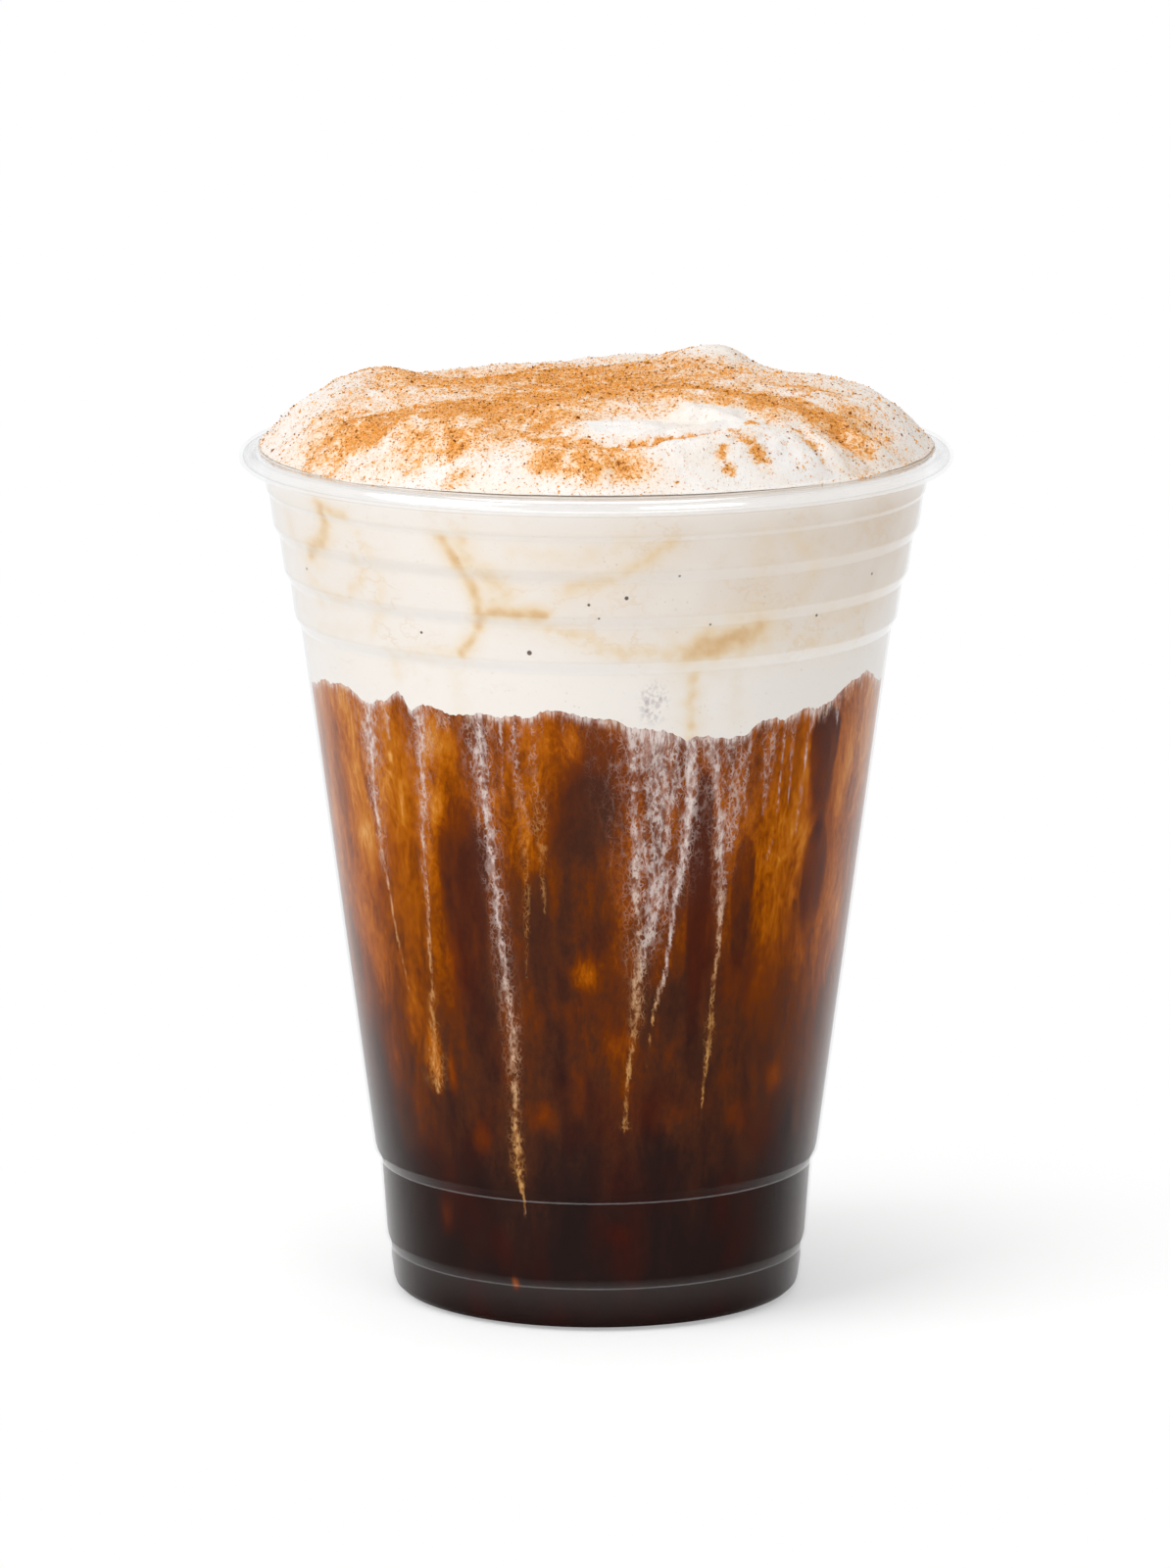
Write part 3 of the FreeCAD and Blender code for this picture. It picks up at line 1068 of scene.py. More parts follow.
@dataclass(frozen=True)
class CoffeeLook:
    """The marbled coffee: how bright it is up the cup, the painted light that brightens it towards the sides
    round the cup, its drips and its patches.
    """

    tones: tuple[tuple[float, str], ...] = (
        (0.0, "241c1b"), (0.1, "33211d"), (0.22, "502c1d"), (0.36, "6c330f"),
        (0.5, "8f4606"), (0.64, "b05d08"), (0.8, "c87a22"), (1.0, "dfa35a"),
    )
    rust: tuple[str, str] = ("4a120a", "a04a10")
    milk: tuple[str, str] = ("ad8477", "e8dad4")
    amber: tuple[str, str] = ("a9672f", "dfa866")
    soft: Grain = Grain(0.004, 0.4, 5.0, 0.62, 0.8)
    fine: Grain = Grain(0.0007, 0.6, 5.0, 0.7)
    strands: Grain = Grain(0.0014, 0.12, 4.0, 0.65)
    wisps: Grain = Grain(0.0036, 0.32, 5.0, 0.66, 1.6)
    wispy: Grain = Grain(0.011, 0.5)
    soft_by: float = 0.42
    fine_by: float = 0.55
    strands_by: float = 0.24
    wisps_by: float = 0.13
    warp: Grain = Grain(0.0016, 0.7, 3.0, 0.6)
    warp_by: float = 0.0014
    cells: tuple[float, float] = (0.00105, 0.0005)
    curds: Grain = Grain(0.0008, 0.5, 3.0, 0.7)
    hairs: Grain = Grain(0.0005, 0.06, 3.0, 0.7)
    rise: Points = (
        (0, 0.02), (14, 0.04), (22, 0.09), (34, 0.2), (48, 0.32), (62, 0.4), (78, 0.46), (92, 0.5),
    )
    # Painted light: by angle round the cup, brighter towards the sides and darker at the front middle.
    around: Points = (
        (-180, 0.02), (-110, 0.06), (-76, 0.1), (-62, 0.15), (-48, 0.14), (-38, 0.07), (-28, -0.02),
        (-18, -0.02), (-8, -0.06), (6, -0.07), (22, -0.03), (34, 0.045), (46, 0.05), (60, 0.12), (72, 0.18),
        (80, 0.14), (110, 0.05), (180, 0.02),
    )
    drips: tuple[Drip, ...] = (
        Drip(stops((46, -48, .1), (54, -50.6, .4), (63, -52, .7), (70, -52.6, 1.1), (77, -52.8, 1.6),
                   (84, -52.2, 2.0), (90, -51.2, 2.8)), 1.0, 78.0, 52.0),
        Drip(stops((82.6, -46, .3), (84, -46.2, .6), (90, -46.5, 1.4)), 0.5),
        Drip(stops((32.6, -42.2, .3), (33.8, -42.1, 1.6), (37, -42, 1.5), (42, -41.3, .9), (50, -40.5, .6),
                   (60, -39.6, .6), (66, -39.5, .75), (75, -38.3, 1.0), (84, -37.8, 1.6), (90, -37.5, 2.3)),
             0.8, 84.0, 44.0),
        Drip(stops((16, -19, .1), (20, -19.1, .5), (24, -19.8, 1.0), (27, -20.3, 1.0), (31, -20, .8),
                   (36, -20.2, .9), (41, -20, 1.0), (50, -20.6, 1.2), (60, -22, 1.0), (70, -22.6, 1.1),
                   (78, -23.3, 1.5), (84, -24, 1.9), (90, -24.6, 2.6)), 0.86, 64.0, 22.0),
        Drip(stops((50, -15.6, .3), (64, -15.2, 1.2), (72, -15.3, 1.7), (80, -16.4, 1.9), (90, -17, 2.0)),
             0.3, 86.0, 66.0),
        Drip(stops((60, -11, .3), (72, -11.6, 1.6), (80, -12.4, 1.5), (90, -13, .8)), 0.3, 90.0, 70.0),
        Drip(stops((76, -19.2, .1), (84, -19.1, .26), (90, -19, .34)), 0.8),
        Drip(stops((78, -16.6, .1), (86, -16.3, .26), (90, -16.2, .34)), 0.8),
        Drip(stops((28.6, 6.8, .25), (29.6, 6.9, .8), (31, 7, .5), (35, 7.4, .4), (40, 8.1, .55),
                   (44, 8.8, .8), (50, 8.9, 1.1), (54, 8.9, 1.3), (62, 8.4, 1.1), (72, 8, 1.1),
                   (84, 7.3, 1.2), (90, 7, 1.4)), 0.86, 74.0, 36.0),
        Drip(stops((38, 12.3, .1), (46, 12.9, .3), (52, 15.2, .45), (60, 16.8, .6), (66, 18, .9),
                   (72, 19.1, 1.3), (80, 19, 1.5), (90, 18.2, 2.0)), 1.0, 54.0, 44.0),
        Drip(stops((50, 9.6, .4), (58, 11.4, 1.8), (66, 13, 3.6), (74, 13.0, 4.4), (90, 11.6, 5.6)), 0.8),
        Drip(stops((28, 26, .1), (36, 26.8, .35), (42, 27.4, .8), (48, 27.6, .45), (58, 27.9, .6),
                   (64, 27.2, .9), (72, 26.2, 1.2), (80, 24.4, 1.5), (84, 22.6, 1.9), (90, 21, 2.2)),
             0.9, 74.0, 44.0),
        Drip(stops((60, 27.6, .4), (67, 28.4, 1.7), (74, 29.3, 2.8), (80, 28.8, 3.6), (90, 27, 4.8)), 0.45),
        Drip(stops((68, 30, .15), (76, 31.4, .4), (90, 32, .6)), 0.5),
        Drip(stops((65, 36.6, .1), (66, 38.4, .25), (69, 40.4, .3), (78, 40.4, .3), (90, 40.6, .35)), 0.6,
             74.0, 66.0),
        Drip(stops((72, 36.6, .4), (78, 37.2, 1.8), (90, 37.6, 2.8)), 0.36),
        Drip(stops((73, 43.4, .2), (80, 43.2, .6), (90, 43.4, .8)), 0.4),
        Drip(stops((69, 46.7, .1), (76, 47, .25), (83, 47.3, .35), (86, 49, .7), (90, 51.5, 2.6)), 0.9),
        Drip(stops((83, 57, .1), (88, 56, 2.0), (92, 55, 3.0)), 0.5),
    )
    patches: tuple[Patch, ...] = (
        Patch(-62, 78, 4, 6, 9, 0.06),
        Patch(-66, 60, 4, 14, 14, -0.04),
        Patch(-57, 66, 3.4, 6, 11, 0.22),
        Patch(-60, 50, 3.6, 10, 9, 0.14),
        Patch(-50, 28, 8, 10, 8, 0.11, 0.0, 0.2),
        Patch(-49, 62, 3.2, 8, 12, 0.1),
        Patch(-46, 76, 3.0, 7, 7, 0.1),
        Patch(-33.5, 83, 4.4, 4.6, 6, 0.3, 0.0, 0.3),
        Patch(-34.6, 73, 2.6, 6, 5, 0.16),
        Patch(-27, 76, 2.4, 8, 8, 0.08),
        Patch(-29.8, 66, 4.4, 11.5, 34, -0.15, 0.72, 0.6),
        Patch(-33, 52, 3.0, 8, 9, 0.05, 0.0, 0.6),
        Patch(-15, 76, 4.4, 8, 14, 0.12),
        Patch(-13, 84, 3.0, 4, 7, 0.08),
        Patch(-5.4, 84.6, 3.4, 3.4, 4.6, 0.14),
        Patch(-9.6, 73, 2.2, 4, 5, 0.05),
        Patch(-12.4, 63, 2.2, 4.6, 24, -0.16, 0.5),
        Patch(-1.8, 76, 7.2, 6.4, 17, -0.17, 0.3),
        Patch(2.4, 84, 3.6, 4.0, 9, -0.1, 0.0, 0.4),
        Patch(-4.4, 66, 3.4, 6, 6, 0.05),
        Patch(1.5, 60, 2.6, 6, 18, -0.12, 0.3),
        Patch(-2.4, 51, 3.6, 4.6, 3.4, 0.3),
        Patch(-7, 46, 3.0, 4, 6, 0.16),
        Patch(4.4, 41.5, 3.2, 3.6, 3.0, 0.12, 0.0, 0.9),
        Patch(-4.6, 33.5, 2.2, 6, 5, 0.12),
        Patch(22.3, 71, 1.8, 9.6, 40, -0.28, 0.8, 0.8),
        Patch(24.0, 60, 3.0, 11, 22, -0.14, 0.4, 0.9),
        Patch(33.0, 64, 2.0, 6.4, 21, -0.19, 0.8, 0.3),
        Patch(38, 60, 2.6, 8, 10, 0.05),
        Patch(42, 76, 3.6, 8, 9, 0.05),
        Patch(52.4, 79.5, 4.6, 8.6, 17, 0.12, 0.6),
        Patch(53.4, 82.4, 3.6, 4.3, 20, -0.42, 0.8, 1.0),
        Patch(56.8, 67.5, 3.9, 4.6, 19, -0.1, 0.76, 0.5),
        Patch(63.5, 80, 2.6, 10, 16, 0.16),
        Patch(54.8, 63, 3.2, 7.8, 16, -0.18, 0.8, 0.6),
        Patch(47, 56, 2.6, 9, 10, 0.06),
        Patch(61, 52, 3.2, 10, 12, 0.06),
        Patch(-42, 37, 2.8, 8, 5.4, 0.42),
        Patch(-36.8, 36.5, 1.4, 6, 6, 0.2, 0.0, 1.0),
        Patch(-46.4, 79.8, 0.8, 0.8, 1.0, 0.4, 0.2),
        Patch(7, 38, 3.6, 6, 5, 0.12),
        Patch(-13, 31, 3.6, 3.8, 3.6, 0.24, 0.0, 0.7),
        Patch(-29, 27, 3.0, 3.4, 3.0, 0.14, 0.0, 0.8),
        Patch(48, 34.5, 3.0, 3.4, 3.6, 0.18, 0.0, 0.9),
        Patch(36, 30, 3.6, 4, 4, 0.08, 0.0, 0.6),
        Patch(-58, 36, 5, 6, 8, 0.1, 0.0, 0.3),
        Patch(18, 30, 4, 4, 5, 0.1),
        Patch(-44, 15, 2.4, 3.4, 4, 0.14, 0.0, 0.9),
        Patch(6, 14, 3.0, 3, 3, 0.05, 0.0, 0.8),
        Patch(-22.6, 6.4, 1.0, 1.4, 1.4, 0.5, 0.2, 0.6),
        Patch(108, 70, 6, 9, 26, -0.24, 0.6, 0.3),
        Patch(132, 60, 5, 12, 20, -0.2, 0.5, 0.5),
        Patch(164, 66, 6, 12, 30, -0.26, 0.6, 0.3),
        Patch(-150, 64, 6, 14, 26, -0.24, 0.5, 0.3),
        Patch(-112, 62, 5, 10, 22, -0.22, 0.6, 0.5),
        Patch(-88, 70, 4, 9, 20, -0.16, 0.5, 0.3),
        Patch(90, 78, 4, 8, 10, 0.16),
        Patch(120, 80, 5, 8, 12, 0.16),
        Patch(-172, 82, 5, 6, 10, 0.18),
        Patch(-130, 80, 5, 8, 12, 0.18),
        Patch(-98, 50, 5, 8, 9, 0.14),
        Patch(148, 44, 5, 7, 6, 0.18),
    )


@dataclass
class Coffee:
    """The coffee, which reaches a little way into the cup's wall so that no gap shows."""

    profile: CupProfile
    look: CoffeeLook = CoffeeLook()
    depth: float = 0.32
    base_top: float = 4.0
    low: float = 4.2
    top: float = 93.0
    lid_inset: float = 3.0
    lid_rise: float = 0.5
    steps: int = 640
    rows: int = 128
    far_from: float = 78.0
    far_turn: float = 204.0
    far_drips: int = 17
    far_tops: float = 91.0
    far_lows: tuple[float, ...] = (76.0, 66.0, 58.0, 46.0, 34.0)
    seed: int = 5
    finish: Finish = Finish("coffee", roughness=0.5, specular=0.0)

    def build(self) -> bpy.types.Object:
        """Spins the body of coffee, from the base's middle to a top that the foam hides.

        Returns:
            The coffee, dressed and placed.
        """
        base = [p for p in self.profile.surface(self.depth, 3)
                if p[1] < self.base_top and p[0] < self.profile.heel_radius]
        heights = np.linspace(self.low, self.top, 3)
        wall = list(zip(self.profile.radius(heights, self.depth).tolist(), heights.tolist()))
        lid_z = self.top + self.lid_rise
        lid = [(wall[-1][0] - self.lid_inset, lid_z), (0.0, lid_z)]
        cuts = {len(base): self.rows // 2, len(base) + 1: self.rows // 2}
        coffee = Bench.lathe("coffee_body", base + wall + lid, self.steps, cuts)
        places = Bench.read(coffee)
        radius = np.hypot(places[:, 0], places[:, 1])
        on_wall = (places[:, 2] > self.low - 0.01) & (places[:, 2] < self.top + 0.01)
        wanted = self.profile.radius(places[:, 2], self.depth)
        places[:, :2] *= np.where(on_wall, wanted / np.maximum(radius, 1e-6), 1.0)[:, None]
        Bench.write(coffee, places)
        self._paint(coffee, Wall(places))
        Bench.finish(coffee, self.material(), "coffee", "coffee")
        return coffee

    def _paint(self, coffee: bpy.types.Object, wall: Wall) -> None:
        """Paints how bright and how red the coffee is, with painted light towards the sides, and where the
        milk lies on it.

        Args:
            coffee: The piece to paint on.
            wall: Its points.
        """
        drift = wall.cloud(14.0, 0.45, 3) * 9.0
        level = np.interp(wall.z + drift, *zip(*self.look.rise))
        # Painted light: the brightness by angle brightens the sides and darkens the front middle.
        glow = level + np.interp(wall.angle, *zip(*self.look.around)) * eased(wall.z + drift, 26.0, 62.0)
        lively = 0.25 + 0.75 * eased(wall.z + drift, 12.0, 60.0)
        glow += (wall.cloud(6.0, 0.3, 4, 3.0) * 0.16 + wall.cloud(2.2, 0.3, 3, 6.0) * 0.07) * lively
        red = np.clip(wall.cloud(9.0, 0.6, 3, 12.0) * 0.9, 0.0, 1.0)
        for patch in self.look.patches:
            mask = patch.mask(wall)
            glow += patch.glow * mask
            red += patch.red * mask
        glow = np.maximum(glow, 0.03 + 0.16 * eased(wall.z, 16.0, 60.0))
        veil = np.zeros(len(wall.z))
        warm = np.zeros(len(wall.z))
        for drip in (*self.look.drips, *self._far()):
            mask = drip.mask(wall)
            warm = np.where(mask > veil, drip.warmth(wall), warm)
            veil = np.maximum(veil, mask)
        below = FoamEdge(self.profile).height(wall.angle) - wall.z
        threads = np.clip(wall.cloud(1.1, 0.03, 3, 15.0) * 1.3, 0.0, 1.0)
        fringe = threads * (1.0 - eased(below, 0.4, 4.6)) * 0.7
        warm = np.where(fringe > veil, 0.3, warm)
        veil = np.maximum(veil, fringe)
        lacy = np.exp(-((wall.angle - 11.0) / 4.5) ** 2) + np.exp(-((wall.angle - 50.0) / 4.0) ** 2) * 0.4
        bare = np.exp(-((wall.angle + 31.0) / 4.0) ** 2)
        hair = (1.0 - eased(below / (2.6 + 6.0 * lacy), 0.0, 1.0)) * (1.0 - 0.85 * bare)
        for name, values in (("glow", glow), ("red", red), ("veil", veil), ("warm", warm), ("hair", hair)):
            Bench.stain(coffee, name, np.clip(values, 0.0, 1.0))

    def _far(self) -> list[Drip]:
        """The drips on the far side, which come at seeded random places and lengths.

        Returns:
            The drips.
        """
        chance = random.Random(self.seed)
        found = []
        for index in range(self.far_drips):
            angle = self.far_from + (index + chance.uniform(0.15, 0.85)) * (self.far_turn / self.far_drips)
            low = chance.choice(self.far_lows) + chance.uniform(-4.0, 4.0)
            lean = chance.uniform(-1.6, 1.6)
            half = chance.uniform(0.9, 2.6)
            rows = [(low + share * (self.far_tops - low),
                     angle + lean * (1.0 - share) + chance.uniform(-0.5, 0.5),
                     half * (0.16 + 0.84 * share ** 2)) for share in (0.0, 0.2, 0.4, 0.6, 0.8, 1.0)]
            found.append(Drip(stops(*rows), chance.uniform(0.55, 0.95), 62.0, 42.0))
        return found

    def material(self) -> bpy.types.Material:
        """Dark coffee with amber plumes, dark pockets and lacy milk drips.

        Returns:
            The material.
        """
        material, sheet, constants = self.finish.start()
        place = sheet.place()
        look = self.look
        soft, fine, strands = (place.clouds(one) - 0.5 for one in (look.soft, look.fine, look.strands))
        stir = soft * look.soft_by + fine * look.fine_by + strands * look.strands_by
        wisps = 1.0 - abs(place.clouds(look.wisps) - 0.5).eased(0.0, 0.08)
        stir = stir + wisps * place.clouds(look.wispy).eased(0.42, 0.62) * look.wisps_by
        glow = sheet.attribute("glow")
        tone = glow + stir * (glow * 2.0).at_most(1.0)
        ramp = sheet.node("ShaderNodeValToRGB", {}, {"Fac": tone})
        elements = ramp.color_ramp.elements
        elements[0].color = paint(self.look.tones[0][1])
        elements[1].color = paint(self.look.tones[-1][1])
        for height, code in self.look.tones[1:-1]:
            elements.new(height).color = paint(code)
        reddened = sheet.mix(glow.eased(0.1, 0.6), *map(paint, self.look.rust))
        colour = sheet.mix(sheet.attribute("red") * 0.45, ramp.outputs["Color"], reddened)
        colour = self._veiled(sheet, place, colour)
        constants["Base Color"] = colour
        self.finish.close(sheet, constants)
        return material

    def _veiled(self, sheet: Sheet, place: Place, colour: bpy.types.NodeSocket) -> bpy.types.NodeSocket:
        """The coffee's colour with the milk's lacy drips over it.

        Args:
            sheet: The tree to draw in.
            place: Where the shaded point lies.
            colour: The coffee without its milk.

        Returns:
            The colour with the milk over it.
        """
        veil = sheet.attribute("veil")
        warm = sheet.attribute("warm")
        warp = (place.clouds(self.look.warp) - 0.5) * self.look.warp_by
        coarse = sheet.cells(place.squeezed(0.42, warp), self.look.cells[0], Cell.EDGE)
        fine = sheet.cells(place.squeezed(0.6, warp), self.look.cells[1], Cell.EDGE)
        thread = 1.0 - (coarse / (veil * 0.16 + 0.03)).eased(0.4, 1.2)
        small = 1.0 - (fine / (veil * 0.34 + 0.03)).eased(0.4, 1.3)
        curds = place.clouds(self.look.curds).eased(0.38, 0.62)
        lace = (thread * (curds * 0.6 + 0.4)).at_least(small * curds)
        lace = lace * veil.eased(0.04, 0.35) * (veil * 0.45 + 0.55)
        hairs = place.clouds(self.look.hairs).eased(0.4, 0.62)
        hair = sheet.attribute("hair")
        lace = lace.at_least(hair.eased(0.2, 1.0) * hairs * 0.85 + hair.eased(0.7, 1.0) * 0.45)
        shown = veil * 0.14 + veil * veil * 0.2 + lace * 0.6
        shown = shown.at_least(veil.eased(0.86, 1.0) * 0.85).at_most(0.94)
        milk = sheet.mix(lace, *map(paint, self.look.milk))
        amber = sheet.mix(lace, *map(paint, self.look.amber))
        return sheet.mix(shown, colour, sheet.mix(warm, milk, amber))


# --- the cold foam -------------------------------------------------------------------------------------


class Vein(NamedTuple):
    """A coffee-coloured vein in the foam: its line as angle and height, half width and strength."""

    line: tuple[tuple[float, float], ...]
    half: float
    strength: float


class Speck(NamedTuple):
    """A dark speck in the foam: its angle, its height and its radius."""

    angle: float
    z: float
    size: float


@dataclass(frozen=True)
class FoamLook:
    """What shows in the foam behind the wall."""

    veins: tuple[Vein, ...] = (
        Vein(((-57, 114), (-53, 113.6), (-49, 113.2)), 0.7, 0.6),
        Vein(((-55, 113.5), (-55, 111), (-57, 108.8), (-60, 107.6), (-63, 106.4)), 0.8, 0.85),
        Vein(((-48, 107.2), (-46.4, 105.6), (-48, 103.6), (-51, 102.6)), 0.7, 0.45),
        Vein(((-28, 112), (-25, 108.6), (-22.6, 105.6), (-21.6, 103.4), (-21.3, 101.2), (-22.6, 98.6),
              (-26, 95.9)), 0.55, 0.9),
        Vein(((-21.4, 101), (-19.5, 101.8), (-17.6, 102.2), (-14.5, 101.6), (-9.4, 101.9)), 0.55, 1.05),
        Vein(((-24, 111.6), (-22.6, 108.2), (-19, 106.8), (-16.6, 104.4), (-18.4, 102.4)), 1.1, 0.6),
        Vein(((13, 111.8), (8, 109.4), (3, 107.2), (-2, 106.2), (-6, 105)), 0.8, 0.55),
        Vein(((-9, 100.4), (-2, 98.4), (5, 96.6), (13, 96.3), (20, 96.8)), 0.9, 0.5),
        Vein(((18, 96.6), (22, 97), (26, 98), (31, 98.8)), 1.3, 1.0),
        Vein(((20.4, 96.4), (18.9, 93), (18.4, 89), (18.8, 84)), 0.8, 0.6),
        Vein(((27, 96), (27.4, 91), (28, 87)), 1.2, 0.25),
        Vein(((30, 112.5), (30, 104), (32, 100)), 1.6, 0.25),
        Vein(((36, 112), (41, 108), (42.6, 106), (40, 102.6)), 1.0, 0.35),
        Vein(((-25, 95.4), (-35, 95.6), (-42, 94.6), (-42, 92)), 1.0, 0.35),
        Vein(((-28, 95), (-27, 88)), 1.4, 0.25),
        Vein(((-66, 95.5), (-60, 96.4), (-50, 97)), 1.0, 0.25),
        Vein(((-64, 103), (-58, 101), (-52, 101.6), (-48, 104)), 0.8, 0.4),
        Vein(((-46, 111), (-42, 106.5), (-43, 101), (-47, 97)), 1.1, 0.3),
        Vein(((-70, 110), (-66, 106), (-63, 100)), 1.0, 0.35),
        Vein(((6, 113), (2, 110.4), (-6, 109.6), (-14, 110.6)), 1.4, 0.3),
        Vein(((34, 98), (40, 96.6), (50, 95.4), (58, 96.4)), 1.2, 0.35),
        Vein(((46, 99.6), (56, 99), (68, 100.4)), 1.6, 0.3),
        Vein(((84, 112), (90, 107), (86, 101), (96, 97)), 0.9, 0.7),
        Vein(((90, 107), (101, 105.6), (112, 108)), 0.8, 0.5),
        Vein(((132, 113), (137, 105), (130, 98), (140, 92)), 0.9, 0.6),
        Vein(((158, 98), (170, 100), (179, 98)), 1.0, 0.6),
        Vein(((-179, 98), (-168, 97), (-160, 102), (-163, 109)), 1.0, 0.7),
        Vein(((-146, 95), (-132, 98), (-122, 96)), 1.1, 0.5),
        Vein(((-108, 113), (-104, 107), (-110, 101), (-104, 95)), 0.8, 0.7),
        Vein(((-104, 107), (-92, 104), (-84, 106)), 0.7, 0.5),
    )
    specks: tuple[Speck, ...] = (
        Speck(5.3, 104.3, 0.28), Speck(-12.5, 96.5, 0.34), Speck(-1.4, 103.4, 0.2), Speck(14.6, 107.2, 0.18),
        Speck(0.4, 101.5, 0.16), Speck(21.2, 100.1, 0.18), Speck(45, 99.7, 0.2), Speck(-34.3, 98.2, 0.2),
        Speck(-66, 104, 0.2), Speck(60, 104, 0.2), Speck(100, 99, 0.3), Speck(150, 104, 0.3),
        Speck(-130, 106, 0.3), Speck(-90, 100, 0.24),
    )
    clouds: Grain = Grain(0.009, detail=4.0)
    lines: Grain = Grain(0.006, 1.4, 5.0, 0.6)
    mottle: Grain = Grain(0.0006, detail=3.0)
    porous: Grain = Grain(0.004, detail=1.0)
    bubble: float = 0.0009
    bump_depth: float = 0.0001
    # Towards the right and up: partly the foam's own beige, partly painted shade on the side away from the
    # key lamp.
    beige_and_shade: Points = ((-180, .5), (-80, .3), (-40, .2), (0, .45), (40, .75), (80, .9), (180, .5))
    thin_place: tuple[float, float] = (11.0, 89.4)
    thin_half: tuple[float, float] = (3.4, 4.4)
    white: tuple[str, str] = ("f4eee7", "e5d5c4")
    faint: str = "e3c59c"
    tan: tuple[str, str] = ("ecd0a2", "d6a566")
    mottled: str = "a3939a"
    speck: str = "4a2c22"
    pore: str = "b9a491"


